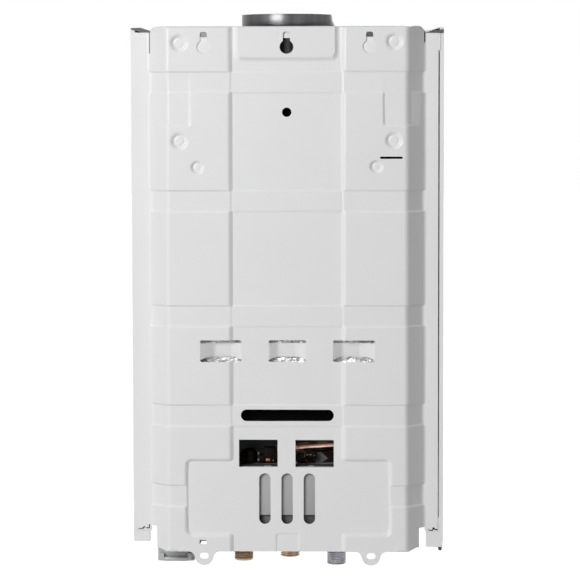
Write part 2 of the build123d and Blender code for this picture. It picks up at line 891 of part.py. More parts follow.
def make_manifold():
    low, high = manifold_z - manifold_half, manifold_z + manifold_half
    back, front = manifold_y - manifold_half, manifold_y + manifold_half
    end = burner_places[-1] + manifold_end
    body = block(-end, end, back, front, low, high)
    body -= block(
        -end + manifold_wall, end - manifold_wall, back + manifold_wall, front - manifold_wall,
        low + manifold_wall, high - manifold_wall
    )
    for side in (-1, 1):
        body += block(side * (end - manifold_foot), side * end, chamber_front, back, low, high)
    for x in burner_places:
        body -= rod((0, 1, 0), (x, back - 1, manifold_z), nozzle_stud_r + seat, manifold_wall + 2)
    body -= rod((0, 0, 1), (riser_x, manifold_y, low - 1), riser_r - 1, manifold_wall + 2)
    return body


def make_nozzle(x):
    back = manifold_y - manifold_half
    nozzle = rod((0, -1, 0), (x, back, manifold_z), nozzle_r, nozzle_head)
    nozzle += rod((0, -1, 0), (x, back + manifold_wall + 1, manifold_z), nozzle_stud_r, nozzle_length)
    return nozzle - rod((0, -1, 0), (x, back + 5, manifold_z), nozzle_bore_r, 20)


def make_gas_riser():
    return pipe(
        [
            (riser_x, bar_front, spindle_z),
            (riser_x, manifold_y, spindle_z),
            (riser_x, manifold_y, manifold_z - manifold_half),
        ],
        riser_bend, riser_r, riser_r - 1
    )


# ---- water pipes ------------------------------------------------------------------------------------
def make_hot_pipe():
    return pipe(
        [
            (tube_reach, tube_places[-1], tube_z),
            (hot_drop_x, tube_places[-1], tube_z),
            (hot_drop_x, tube_places[-1], chamber_bottom),
            (hot_drop_x, pipe_y, pipe_z + pipe_rise),
            (pipe_turn_x, pipe_y, pipe_z),
            (pipe_turn_x, pipe_y, spindle_z - hot_jog_high),
            (hot_x, pipe_y, spindle_z - hot_jog_low),
            (hot_x, pipe_y, hot_neck_top),
        ],
        pipe_bend, pipe_r, pipe_r - 1
    )


def make_cold_pipe():
    front_y = chamber_front + pipe_r + cold_front_gap
    return pipe(
        [
            (knob_pitch, tower_y, tower_top),
            (knob_pitch, tower_y, tower_top + cold_crossing),
            (cold_rise_x, tower_y, tower_top + cold_crossing),
            (cold_rise_x, tower_y, cold_bends[0]),
            (cold_rise_x, front_y, cold_bends[1]),
            (-cold_end_x, front_y, cold_bends[2]),
            (-cold_end_x, tube_places[0], cold_bends[3]),
            (-cold_end_x, tube_places[0], tube_z),
            (-tube_reach, tube_places[0], tube_z),
        ],
        pipe_bend, pipe_r, pipe_r - 1
    )


def make_cutoff():
    """Over-heat cut-off on a clip round the hot pipe."""
    y = tube_places[-1]
    side = hot_drop_x + pipe_r
    clip = tube((0, 0, 1), (hot_drop_x, y, cutoff_z), pipe_r + 1.2, pipe_r + seat, cutoff_height)
    ears = block(
        side + 0.8, side + cutoff_reach, y - cutoff_half, y + cutoff_half,
        cutoff_z, cutoff_z + cutoff_height
    )
    disc = rod((1, 0, 0), (side + cutoff_reach, y, cutoff_z + cutoff_height / 2), cutoff_disc_r, 3)
    return clip + ears + disc


# ---- connections ------------------------------------------------------------------------------------
def make_shelf():
    shelf = block(
        -shelf_left, shelf_half, channel_depth + foot_pad_depth + sheet + play, shelf_depth,
        pan_bottom + sheet, shelf_top
    )
    for x in (hot_x, gas_x, cold_x):
        shelf -= rod((0, 0, 1), (x, port_y, pan_bottom - 5), thread_r + play, 20)
    lip = block(
        -shelf_left, shelf_half, shelf_depth - sheet, shelf_depth, shelf_top, shelf_top + shelf_lip
    )
    lip -= block(
        gas_x - shelf_gap[0], cold_x + shelf_gap[1], shelf_depth - 5, shelf_depth + 5,
        shelf_top, shelf_top + 2 * shelf_lip
    )
    return shelf + lip


def make_fitting(x, end, neck_top):
    """Threaded port below the shelf, hexagon on it, and a neck up to the pipe or valve."""
    fitting = rod((0, 0, 1), (x, port_y, end), thread_r, nut_bottom - end)
    fitting = chamfer(fitting.edges().filter_by(GeomType.CIRCLE).group_by(Axis.Z)[0], thread_lead)
    fitting += rod((0, 0, 1), (x, port_y, end + 3), relief_r, shelf_top - end - 3)
    fitting += hexagon(x, port_y, shelf_top, hex_height)
    fitting += rod((0, 0, 1), (x, port_y, shelf_top), neck_r, neck_top - shelf_top)
    fitting -= rod((0, 0, 1), (x, port_y, end - 1), bore_r, shelf_top - end)
    fitting -= rod((0, 0, 1), (x, port_y, end - 1), pipe_r - 1, neck_top - end + 2)
    return fitting


def make_locknuts():
    return [
        hexagon(x, port_y, nut_bottom, locknut_height)
        - rod((0, 0, 1), (x, port_y, nut_bottom - 1), relief_r + seat, locknut_height + 2)
        for x in (hot_x, gas_x, cold_x)
    ]


# ---- gas valve ----------------------------------------------------------------------------------------
def make_gas_valve():
    body = block(-bar_half, stem_x + 14, bar_back, bar_front, bar_bottom, bar_top)
    body = fillet(body.edges().filter_by(Axis.X), 4.0)
    left, right = gas_x - gas_leg_half, gas_x + gas_leg_half
    foot_top = gas_neck_top + gas_foot_height
    body += block(left, right, gas_leg_back, bar_front - 2, foot_top, bar_bottom + 4)
    body += block(left, right, port_y - gas_leg_half + 1, bar_front - 2, gas_neck_top, foot_top)
    for x in knob_places[:2]:
        body += rod((0, 1, 0), (x, bar_front - 4, spindle_z), plug_r + plug_boss, 4)
        body -= rod((0, 1, 0), (x, plug_back, spindle_z), plug_r + slip, 40)
    body -= rod((0, 0, 1), (stem_x, stem_y, seat_z), chamber_r, bar_top - seat_z + 1)
    body -= rod((0, 0, 1), (stem_x, stem_y, bar_bottom - 1), stem_r + slip, 20)
    body -= rod((0, 1, 0), (riser_x, bar_front - 12, spindle_z), riser_r - 1, 20)
    body -= rod((0, 0, 1), (gas_x, port_y, gas_neck_top - 1), pipe_r - 1, inner_port_depth + 1)
    return body


def make_spring_cap():
    cap = rod((0, 0, 1), (stem_x, stem_y, bar_top), chamber_r + 2 * cap_wall, cap_flange)
    cap += rod((0, 0, 1), (stem_x, stem_y, bar_top), chamber_r + cap_wall, cap_height)
    return cap - rod((0, 0, 1), (stem_x, stem_y, bar_top - 1), chamber_r, cap_height - 1)


def make_stem():
    stem = rod((0, 0, 1), (stem_x, stem_y, plate_z), stem_r, seat_z + play + seal_thick - plate_z)
    stem += rod((0, 0, 1), (stem_x, stem_y, plate_z), stem_plate_r, stem_plate_thick)
    return stem + rod((0, 0, 1), (stem_x, stem_y, collar_z), collar_r, 3)


def make_stem_seal():
    """Rubber-faced disc that closes the gas seat."""
    seal = rod((0, 0, 1), (stem_x, stem_y, seat_z + play), stem_seal_r, seal_thick)
    return seal - rod((0, 0, 1), (stem_x, stem_y, seat_z - 5), stem_r, 30)


def make_stem_spring():
    low = seat_z + play + seal_thick + spring_wire
    high = bar_top + cap_height - 2 - spring_wire
    path = Helix((high - low) / spring_turns, high - low, spring_r)
    section = Plane(origin=path @ 0, z_dir=path % 0) * Circle(spring_wire)
    return Pos(stem_x, stem_y, low) * sweep(section, path, is_frenet=True)


def make_spindle(x):
    spindle = rod((0, 1, 0), (x, plug_back + play, spindle_z), plug_r, bar_front - plug_back - 2 * play)
    spindle += rod(
        (0, 1, 0), (x, bar_front - 2, spindle_z), spindle_r, knob_front - spindle_in_knob - bar_front + 2
    )
    return spindle


def make_gland(x):
    outline = Pos(x, spindle_z) * RectangleRounded(2 * gland_half, 2 * gland_half, 3)
    gland = plate(outline, bar_front, gland_thick)
    return gland - rod((0, 1, 0), (x, bar_front - 1, spindle_z), spindle_r + slip, 10)


def make_knob(x):
    skirt = rod((0, 1, 0), (x, knob_back, spindle_z), knob_r, knob_skirt)
    cap = rod((0, 1, 0), (x, knob_back, spindle_z), knob_r - knob_step, knob_height)
    cap = fillet(cap.edges().filter_by(GeomType.CIRCLE).group_by(Axis.Y)[-1], 2.0)
    knob = skirt + cap
    for n in range(knob_flutes):
        turn = 2 * math.pi * (n + 0.5) / knob_flutes
        groove = (
            x + knob_r * math.sin(turn), knob_back + knob_skirt, spindle_z + knob_r * math.cos(turn)
        )
        knob -= rod((0, 1, 0), groove, flute_r, knob_height)
    knob -= block(
        x - pointer_width / 2, x + pointer_width / 2, knob_front - pointer_depth, knob_front + 1,
        spindle_z + 4, spindle_z + knob_r
    )
    return knob - rod((0, 1, 0), (x, knob_back - 1, spindle_z), spindle_r + seat, knob_height - 6)


# ---- water valve ------------------------------------------------------------------------------------
def make_water_valve():
    body = rod((0, 0, 1), (stem_x, stem_y, water_bottom), diaphragm_r + 1, water_top - water_bottom)
    body += block(
        knob_pitch - tower_half, knob_pitch + tower_half, tower_back, bar_front,
        water_bottom, tower_top
    )
    body += block(
        cold_x - gas_leg_half, cold_x + gas_leg_half, port_y - gas_leg_half + 1, stem_y,
        water_bottom, water_bottom + inlet_height
    )
    body += rod((0, 1, 0), (knob_pitch, bar_front - 4, spindle_z), plug_r + plug_boss, 4)
    body -= rod((0, 1, 0), (knob_pitch, plug_back, spindle_z), plug_r + slip, 40)
    body -= rod((0, 0, 1), (stem_x, stem_y, water_bottom - 1), water_cavity_r, water_cavity_height + 1)
    height = water_top - water_bottom
    body -= rod((0, 0, 1), (stem_x, stem_y, water_bottom), stem_r + slip, height + 1)
    reach = inner_port_depth + 1
    body -= rod((0, 0, 1), (knob_pitch, tower_y, tower_top - inner_port_depth), pipe_r - 1, reach)
    body -= rod((0, 0, 1), (cold_x, port_y, water_bottom - 1), pipe_r - 1, reach)
    body -= rod((0, 0, 1), (drain_x, drain_y, water_bottom - 1), drain_stud_r + slip, drain_stud_length + 1)
    return body


def make_diaphragm():
    return rod((0, 0, 1), (stem_x, stem_y, water_bottom - diaphragm_thick), diaphragm_r, diaphragm_thick)


def make_diaphragm_cover():
    top = water_bottom - diaphragm_thick
    low = top - cover_disc_height
    cover = rod((0, 0, 1), (stem_x, stem_y, low), diaphragm_r + 1, cover_disc_height)
    cover = fillet(cover.edges().filter_by(GeomType.CIRCLE).group_by(Axis.Z)[0], 3.0)
    return cover - rod((0, 0, 1), (stem_x, stem_y, low + cover_disc_rise), water_cavity_r, 20)


def make_drain_plug():
    low = water_bottom - drain_height
    plug = rod((0, 0, 1), (drain_x, drain_y, low), drain_r, drain_height)
    for n in range(drain_grooves):
        turn = 2 * math.pi * n / drain_grooves
        reach = drain_r + drain_groove_r - 1
        centre = (drain_x + reach * math.cos(turn), drain_y + reach * math.sin(turn), low - 1)
        plug -= rod((0, 0, 1), centre, drain_groove_r, drain_height - 4)
    return plug + rod((0, 0, 1), (drain_x, drain_y, water_bottom - 1), drain_stud_r, drain_stud_length)


# ---- micro switch -------------------------------------------------------------------------------------
def make_switch_bracket():
    left, right = stem_x - switch_foot_half, stem_x + switch_foot_half
    back = switch_y - switch_foot_half / 2
    foot = block(left, right, back, switch_y + switch_foot_half, water_top, water_top + sheet)
    return foot + block(left, right, back, back + sheet, water_top, water_top + 6)


def make_micro_switch():
    low = water_top + sheet
    body = block(
        stem_x - switch_half, stem_x + switch_half, switch_y - 4.5, switch_y + 5,
        low, low + switch_height
    )
    gap = 0.5
    left = lever_x - lever_width / 2 - gap - switch_cheek
    for x0 in (left, lever_x + lever_width / 2 + gap):
        body += block(
            x0, x0 + switch_cheek, lever_y - 2, lever_y + 2, low + switch_height - 0.5, lever_z + 2
        )
    length = lever_width + 2 * (gap + switch_cheek)
    return body + rod((1, 0, 0), (left, lever_y, lever_z), lever_pin_r, length)


def make_switch_lever():
    lever = block(
        lever_x - lever_width / 2, lever_x + lever_width / 2, lever_y, lever_end_y,
        lever_z - lever_thick / 2, lever_z + lever_thick / 2
    )
    lever += rod((1, 0, 0), (lever_x - lever_width / 2, lever_y, lever_z), lever_pin_r + 0.7, lever_width)
    return lever - rod((1, 0, 0), (lever_x - 10, lever_y, lever_z), lever_pin_r + slip, 20)


# ---- electrics ------------------------------------------------------------------------------------------
def make_igniter():
    outline = Pos(igniter_mid_x, igniter_mid_z) * RectangleRounded(
        igniter_right - igniter_left, igniter_top - igniter_bottom, igniter_corner
    )
    box = plate(outline, igniter_back, igniter_front - igniter_back)
    box = fillet(box.edges().group_by(Axis.Y)[0], igniter_edge)
    return box + block(
        igniter_left - igniter_ear, igniter_left + 1, igniter_back, igniter_back + igniter_ear_thick,
        igniter_mid_z - igniter_ear_half, igniter_mid_z + igniter_ear_half
    ) + block(
        igniter_right - 1, igniter_right + igniter_ear, igniter_back, igniter_back + igniter_ear_thick,
        igniter_mid_z - igniter_ear_half, igniter_mid_z + igniter_ear_half
    )


def make_igniter_posts():
    """Spacers between the floor of the lower recess and the ears of the igniter box."""
    floor = channel_depth + sheet
    return [
        tube((0, 1, 0), (x, floor, igniter_mid_z), post_r, post_bore_r, igniter_back - floor)
        for x in (igniter_left - igniter_ear / 2, igniter_right + igniter_ear / 2)
    ]


def make_electrode(x):
    rear = chamber_front - ceramic_depth
    ceramic = rod((0, 1, 0), (x, rear, view_z), ceramic_r, ceramic_length)
    return ceramic - rod((0, 1, 0), (x, rear - 1, view_z), electrode_r + seat, 2 * ceramic_length)


def make_electrode_rod(x):
    path = FilletPolyline(
        (x, chamber_front - ceramic_depth + ceramic_length + 2, view_z),
        (x, chamber_front - electrode_reach, view_z),
        (x, chamber_front - electrode_reach - 8, view_z - 3), radius=4
    )
    return sweep(Plane(origin=path @ 0, z_dir=path % 0) * Circle(electrode_r), path)


def make_electrode_bracket():
    low, high = electrode_places
    mount = block(low - 8, high + 8, chamber_front, chamber_front + 1.5, view_z - 7, view_z + 7)
    for x in electrode_places:
        mount -= rod((0, 1, 0), (x, chamber_front - 1, view_z), ceramic_r + seat, 5)
    return mount


def lead(points, bend):
    path = FilletPolyline(*points, radius=bend)
    return sweep(Plane(origin=path @ 0, z_dir=path % 0) * Circle(lead_r), path)


def make_ignition_lead():
    x = electrode_places[1]
    front = chamber_front + lead_front
    end_z = igniter_bottom + lead_port_height[0]
    return lead(
        [
            (x, front + 0.6, view_z),
            (x + 2, front + 5, view_z),
            (lead_x, front, view_z - 10),
            (lead_x, front, lead_drop),
            (lead_x, chamber_front - 22, lead_turn_z[0]),
            (lead_turn_x[0], port_y, lead_turn_z[1]),
            (lead_turn_x[1], igniter_mid_y, end_z),
            (igniter_right, igniter_mid_y, end_z),
        ],
        [2.5, 14, 14, 14, 14, 10]
    )


def make_battery_lead():
    start_z = battery_top - battery_lead_drop
    end_z = igniter_bottom + lead_port_height[1]
    return lead(
        [
            (battery_right, port_y, start_z),
            (battery_lead_x[0], port_y, start_z),
            (battery_lead_x[1], igniter_mid_y, end_z),
            (igniter_left, igniter_mid_y, end_z),
        ],
        9
    )


# ---- battery box ----------------------------------------------------------------------------------------
def make_battery_box():
    box = block(battery_left, battery_right, battery_back, battery_front, box_bottom, battery_top)
    box = fillet(box.edges().filter_by(Axis.Z), battery_corner)
    box -= block(
        battery_left + battery_wall, battery_right - battery_wall, battery_back + battery_wall,
        battery_front - battery_wall, box_bottom - 1, battery_top - battery_wall
    )
    for side in (-1, 1):
        x0 = battery_x + side * hinge_half
        x1 = battery_x + side * (hinge_half + 4)
        box += block(x0, x1, hinge_y - 2.2, battery_back, hinge_z - 2.2, hinge_z + 6)
    box += rod((1, 0, 0), (battery_x - hinge_half - 4, hinge_y, hinge_z), hinge_pin_r, 2 * hinge_half + 8)
    return box


def make_battery_door():
    door = block(battery_left, battery_right, battery_back, battery_front, battery_bottom, door_top)
    door = fillet(door.edges().filter_by(Axis.Z), battery_corner)
    length = 2 * (hinge_half - play)
    for side in (-1, 1):
        door -= block(
            battery_x + side * (hinge_half - play), battery_x + side * (hinge_half + 4 + play),
            battery_back - 1, battery_back + 1.2, battery_bottom - 1, door_top + 1
        )
    door += rod((1, 0, 0), (battery_x - length / 2, hinge_y, hinge_z), hinge_pin_r + 1.0, length)
    door += block(
        battery_x - length / 2, battery_x + length / 2, hinge_y, battery_back + 1,
        battery_bottom, hinge_z - hinge_pin_r - 0.1
    )
    width = battery_right - battery_left
    door -= rod((1, 0, 0), (battery_left, hinge_y, hinge_z), hinge_pin_r + slip, width)
    return door


def make_door_contact():
    return block(
        battery_x - door_contact_half, battery_x + door_contact_half,
        cell_y[0] - contact_half, cell_y[1] + contact_half, door_top, door_top + sheet
    )


def make_cells():
    low = door_top + sheet + play
    return [rod((0, 0, 1), (battery_x, y, low), cell_r, cell_height) for y in cell_y]


def make_battery_contacts():
    low = door_top + sheet + 2 * play + cell_height
    top = battery_top - battery_wall
    contacts = []
    for y in cell_y:
        tab = block(
            battery_x - contact_half, battery_x + contact_half, y - contact_half, y + contact_half,
            top - sheet, top
        )
        tab += tube((0, 0, 1), (battery_x, y, low), coil_r, coil_bore_r, top - sheet - low)
        contacts.append(tab)
    return contacts


def make_battery_bracket():
    low, high = battery_bracket_low, battery_bracket_high
    left = battery_x - sheet
    foot = block(left, battery_x + battery_foot, sheet, 2 * sheet, low, high)
    web = block(left, battery_x, sheet, battery_back, low, high)
    head = block(battery_x - battery_head, battery_x, battery_back - sheet, battery_back, low, high)
    return foot + web + head


# ---- shields, brackets and small pieces -----------------------------------------------------------------
def chamber_bracket(x, z):
    left, right, top = x - bracket_half, x + bracket_half, z + bracket_height
    foot = block(left, right, sheet, 2 * sheet, z, top)
    web = block(x - bracket_web / 2, x + bracket_web / 2, sheet, chamber_back, z, top)
    head = block(left, right, chamber_back - sheet, chamber_back, z, top)
    return foot + web + head


bracket_places = [(side * bracket_x, z) for side in (-1, 1) for z in (bracket_high, bracket_low)]


def make_heat_shield():
    shield = block(
        -shield_half, shield_half, shield_back, chamber_back, chamber_bottom - shield_drop, shield_top
    )
    shield -= block(
        -shield_half - 1, shield_half + 1, shield_back + shield_thick, chamber_back + 1,
        chamber_bottom - shield_drop - 5, chamber_bottom
    )
    reach = bracket_half + 1
    for x, z in bracket_places:
        shield -= block(
            x - reach, x + reach, 0, chamber_back + 1, z - 1, z + bracket_height + 1
        )
    return shield


def make_hanger(side):
    """Hat-shaped plate behind a side keyhole that stops the screw head."""
    low, high = side * (keyhole_pitch - hanger_half), side * (keyhole_pitch + hanger_half)
    hanger = block(low, high, hanger_y, hanger_y + sheet, hanger_bottom, hanger_top)
    hanger += block(low, low + side * sheet, sheet, hanger_y, hanger_bottom, hanger_top)
    hanger += block(high - side * sheet, high, sheet, hanger_y, hanger_bottom, hanger_top)
    return hanger


def make_corner_clip():
    back = flange_back + sheet
    low = cover_bottom - hem_drop
    right = cover_half - sheet
    return block(right - clip_width, right, back, back + clip_depth, low - clip_drop, low + clip_rise)


# ---- build ----------------------------------------------------------------------------------------
keep("back_panel", make_back_panel())
keep("front_cover", make_front_cover())
keep("window_pane", make_window_pane())
keep("window_frame", make_window_frame())
keep("control_strip", make_control_strip())
keep("display_lens", make_display_lens())
keep("flue_collar", make_flue_collar())
keep("flue_hood", make_flue_hood())
keep("combustion_chamber", make_chamber())
keep("exchanger_fins", *make_fins())
keep("exchanger_tubes", make_exchanger_tubes())
keep("burner_tray", make_tray())
keep("burner_bars", *[make_burner(x) for x in burner_places])
keep("gas_manifold", make_manifold())
keep("gas_nozzles", *[make_nozzle(x) for x in burner_places])
keep("gas_riser", make_gas_riser())
keep("hot_pipe", make_hot_pipe())
keep("cold_pipe", make_cold_pipe())
keep("overheat_cutoff", make_cutoff())
keep("connection_shelf", make_shelf())
keep("hot_outlet_fitting", make_fitting(hot_x, hot_end, hot_neck_top))
keep("gas_inlet_fitting", make_fitting(gas_x, gas_end, gas_neck_top))
keep("cold_inlet_fitting", make_fitting(cold_x, cold_end, water_bottom))
keep("locknuts", *make_locknuts())
keep("gas_valve_body", make_gas_valve())
keep("spring_cap", make_spring_cap())
keep("valve_stem", make_stem())
keep("stem_seal", make_stem_seal())
keep("stem_spring", make_stem_spring())
for name, x in zip(("gas", "season", "water"), knob_places):
    keep(name + "_spindle", make_spindle(x))
    keep(name + "_knob", make_knob(x))
keep("spindle_glands", *[make_gland(x) for x in knob_places])
keep("water_valve_body", make_water_valve())
keep("diaphragm", make_diaphragm())
keep("diaphragm_cover", make_diaphragm_cover())
keep("drain_plug", make_drain_plug())
keep("switch_bracket", make_switch_bracket())
keep("micro_switch", make_micro_switch())
keep("switch_lever", make_switch_lever())
keep("igniter_box", make_igniter())
keep("igniter_posts", *make_igniter_posts())
keep("electrodes", *[make_electrode(x) for x in electrode_places])
keep("electrode_rods", *[make_electrode_rod(x) for x in electrode_places])
keep("electrode_bracket", make_electrode_bracket())
keep("ignition_lead", make_ignition_lead())
keep("battery_lead", make_battery_lead())
keep("battery_box", make_battery_box())
keep("battery_door", make_battery_door())
keep("door_contact", make_door_contact())
keep("battery_cells", *make_cells())
keep("battery_contacts", *make_battery_contacts())
keep("battery_bracket", make_battery_bracket())
keep("chamber_brackets", *[chamber_bracket(x, z) for x, z in bracket_places])
keep("heat_shield", make_heat_shield())
keep("hangers", make_hanger(-1), make_hanger(1))
keep("corner_clip", make_corner_clip())

os.makedirs("parts", exist_ok=True)
for name, piece in pieces.items():
    export_step(piece, "parts/" + name + ".step")
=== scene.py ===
import math

import bmesh
import bpy
from bpy.props import FloatProperty, FloatVectorProperty, IntProperty, PointerProperty
from mathutils import Matrix, Quaternion, Vector, noise


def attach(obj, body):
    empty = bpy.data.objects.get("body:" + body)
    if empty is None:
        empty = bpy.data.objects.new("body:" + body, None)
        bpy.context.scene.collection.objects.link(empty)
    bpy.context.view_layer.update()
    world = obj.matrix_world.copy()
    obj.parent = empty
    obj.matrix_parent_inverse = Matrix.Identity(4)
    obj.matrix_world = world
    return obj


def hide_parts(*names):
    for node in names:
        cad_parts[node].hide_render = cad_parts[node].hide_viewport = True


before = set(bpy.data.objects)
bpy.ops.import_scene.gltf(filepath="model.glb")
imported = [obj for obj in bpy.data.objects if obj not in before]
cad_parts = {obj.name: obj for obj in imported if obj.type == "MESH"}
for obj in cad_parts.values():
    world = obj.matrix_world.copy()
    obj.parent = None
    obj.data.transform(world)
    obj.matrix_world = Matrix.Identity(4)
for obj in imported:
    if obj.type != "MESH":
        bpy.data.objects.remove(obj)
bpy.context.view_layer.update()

bl_info = {
    "name": "Water heater dressing",
    "version": (1, 0, 0),
    "blender": (4, 5, 0),
    "location": "3D View > Sidebar > Heater",
    "description": "Pressed panel, plated fittings, foil and painted cover for a wall-hung water heater",
    "category": "Object",
}

MM = 0.001
CHASSIS = "chassis"
FINISHES = {}


# ---- settings --------------------------------------------------------------------------------------
def length(name, description, default, top=1000.0):
    """A size in millimetres, as a property."""
    return FloatProperty(name=name, description=description, default=default, min=0.0, max=top, unit="NONE")


def colour(name, description, default):
    return FloatVectorProperty(
        name=name, description=description, default=default, size=3, min=0.0, max=1.0, subtype="COLOR"
    )


class PanelSettings(bpy.types.PropertyGroup):
    """Sizes of the pressed rear panel."""

    side_bend: length("Side bend", "Rounding where the face turns into the sloping sides, in mm", 3.0)
    foot_bend: length("Foot bend", "Rounding where the sloping sides meet the flanges, in mm", 2.0)
    press_bend: length("Press bend", "Rounding of the shallow stampings, in mm", 1.3)
    edge_bend: length("Edge bend", "Radius of the bend along the top and bottom edges, in mm", 3.2)
    sheet: length("Sheet", "Thickness of the steel sheet, in mm", 1.0)
    paint: colour("Enamel", "Colour of the stove enamel", (0.80, 0.80, 0.80))


class FittingSettings(bpy.types.PropertyGroup):
    """Sizes of the three threaded connections."""

    pitch: length("Pitch", "Pitch of the pipe thread, in mm", 1.814)
    crest: length("Crest radius", "Outer radius of the thread, in mm", 10.45)
    root: length("Root radius", "Radius at the bottom of the thread, in mm", 9.35)
    steps: IntProperty(name="Steps", description="Steps in each turn of the thread", default=48, min=12, max=96)


class StageSettings(bpy.types.PropertyGroup):
    """Camera and lamps."""

    turn: FloatProperty(name="Turn", description="Camera's turn to the right of the wall side", default=math.radians(1.744), subtype="ANGLE")
    rise: FloatProperty(name="Rise", description="Camera's tilt down towards the heater", default=math.radians(4.273), subtype="ANGLE")
    roll: FloatProperty(name="Roll", description="Camera's roll about its axis", default=math.radians(-0.126), subtype="ANGLE")
    distance: FloatProperty(name="Distance", description="From the camera to the point it looks at", default=2.886, unit="LENGTH")
    lens: FloatProperty(name="Lens", description="Focal length of the camera, in mm", default=162.78)
    key: FloatProperty(name="Key lamp", description="Power of the large lamp on the wall side, in watts", default=50.0)
    top: FloatProperty(name="Top lamp", description="Power of the lamp above, in watts", default=5.0)
    front: FloatProperty(name="Front lamp", description="Power of the lamp on the cover's side, in watts", default=40.0)
    ambient: FloatProperty(name="Ambient", description="Strength of the light from all round", default=0.12)


SETTINGS = {"heater_panel": PanelSettings, "heater_fittings": FittingSettings, "heater_stage": StageSettings}


# ---- shader maths ----------------------------------------------------------------------------------
class Value:
    """An output socket, on which arithmetic adds Math nodes."""

    def __init__(self, finish, socket):
        self.finish = finish
        self.socket = socket

    def math(self, operation, *terms):
        inputs = dict(enumerate(terms))
        return self.finish.node("ShaderNodeMath", {"operation": operation}, inputs)

    def __add__(self, other):
        return self.math("ADD", self, other)

    def __sub__(self, other):
        return self.math("SUBTRACT", self, other)

    def __rsub__(self, other):
        return self.math("SUBTRACT", other, self)

    def __mul__(self, other):
        return self.math("MULTIPLY", self, other)

    def __truediv__(self, other):
        return self.math("DIVIDE", self, other)

    def __pow__(self, other):
        return self.math("POWER", self, other)

    __radd__ = __add__
    __rmul__ = __mul__


class Finish:
    """A material under construction."""

    def __init__(self, name):
        self.material = bpy.data.materials.new(name)
        self.material.use_nodes = True
        self.nodes = self.material.node_tree.nodes
        self.links = self.material.node_tree.links
        self.skin = self.nodes["Principled BSDF"]

    def put(self, socket, value):
        if isinstance(value, Value):
            self.links.new(value.socket, socket)
        elif socket.type == "RGBA" and len(value) == 3:
            socket.default_value = (*value, 1.0)
        else:
            socket.default_value = value

    def node(self, kind, settings=None, inputs=None, output=0):
        """Adds a node: its settings first, then its sockets' values or links."""
        made = self.nodes.new(kind)
        for name, value in (settings or {}).items():
            if name == "stops":
                ramp = made.color_ramp
                while len(ramp.elements) < len(value):
                    ramp.elements.new(0.5)
                for element, (place, shade) in zip(ramp.elements, value):
                    element.position = place
                    element.color = (*shade, 1.0) if isinstance(shade, tuple) else (shade, shade, shade, 1.0)
            else:
                setattr(made, name, value)
        for name, value in (inputs or {}).items():
            self.put(made.inputs[name], value)
        return Value(self, made.outputs[output])

    def place(self, stretch=(1.0, 1.0, 1.0), centre=(0.0, 0.0, 0.0)):
        """Object coordinates, moved and stretched."""
        where = self.node("ShaderNodeTexCoord", output="Object")
        return self.node("ShaderNodeMapping", {}, {"Vector": where, "Location": centre, "Scale": stretch})

    def grain(self, size, detail=3.0, roughness=0.5, where=None, warp=0.0):
        """Noise whose grains are about size metres across, from 0 to 1."""
        inputs = {"Scale": 1.0 / size, "Detail": detail, "Roughness": roughness, "Distortion": warp}
        inputs["Vector"] = where or self.place()
        return self.node("ShaderNodeTexNoise", {}, inputs)

    def cells(self, size, feature="F1", where=None, output="Distance"):
        inputs = {"Scale": 1.0 / size, "Vector": where or self.place()}
        return self.node("ShaderNodeTexVoronoi", {"feature": feature}, inputs, output)

    def ramp(self, factor, *stops):
        return self.node("ShaderNodeValToRGB", {"stops": stops}, {"Fac": factor})

    def mix(self, factor, low, high):
        inputs = {0: factor, 6: low, 7: high}
        return self.node("ShaderNodeMix", {"data_type": "RGBA", "clamp_factor": True}, inputs, 2)

    def bump(self, height, distance, strength=1.0):
        inputs = {"Height": height, "Distance": distance, "Strength": strength}
        return self.node("ShaderNodeBump", {}, inputs, "Normal")

    def worn_edge(self, size):
        """1 along convex edges, from the curvature of the mesh."""
        point = self.node("ShaderNodeNewGeometry", output="Pointiness")
        return self.ramp(point, (0.5 + size, 0.0), (0.56 + size, 1.0))

    def done(self, **sockets):
        """Connects the surface, with underscores for the spaces in socket names."""
        for name, value in sockets.items():
            self.put(self.skin.inputs[name.replace("_", " ")], value)
        return self.material


def make_enamel(paint):
    """Glossy white stove enamel with a faint orange peel."""
    f = Finish("white_enamel")
    clouds = f.grain(0.09, 2.0)
    peel = f.grain(0.0016, 2.0, 0.6)
    sag = f.grain(0.055, 2.0, 0.4)
    specks = f.cells(0.035)
    dust = f.ramp(specks, (0.0, 1.0), (0.012, 0.0))
    darker = tuple(c * 0.965 for c in paint)
    base = f.mix(clouds, darker, paint)
    base = f.mix(dust * 0.25, base, (0.45, 0.44, 0.42))
    relief = f.bump(peel, 0.00002, 0.35)
    relief = f.node(
        "ShaderNodeBump", {}, {"Height": sag, "Distance": 0.0006, "Strength": 0.30, "Normal": relief}, "Normal"
    )
    return f.done(
        Base_Color=base, Roughness=0.30 + clouds * 0.10, Normal=relief, Specular_IOR_Level=0.42,
        Coat_Weight=0.12, Coat_Roughness=0.12
    )


def make_metal(name, dark, light, roughness, grain=0.004, stretch=(1.0, 1.0, 1.0), relief=0.00003,
               stain=None, stain_size=0.02, metallic=1.0, spread=0.12):
    """Bare or plated metal: two tones in streaks or clouds, and stains where they are given."""
    f = Finish(name)
    where = f.place(stretch)
    streaks = f.grain(grain, 5.0, 0.6, where)
    clouds = f.grain(stain_size, 3.0, 0.55)
    tone = streaks * 0.6 + clouds * 0.4
    base = f.mix(f.ramp(tone, (0.3, 0.0), (0.7, 1.0)), dark, light)
    if stain:
        base = f.mix(f.ramp(clouds, (0.48, 0.0), (0.66, 1.0)) * 0.75, base, stain)
    rough = roughness - spread / 2 + tone * spread
    return f.done(Base_Color=base, Metallic=metallic, Roughness=rough, Normal=f.bump(streaks, relief, 0.6))


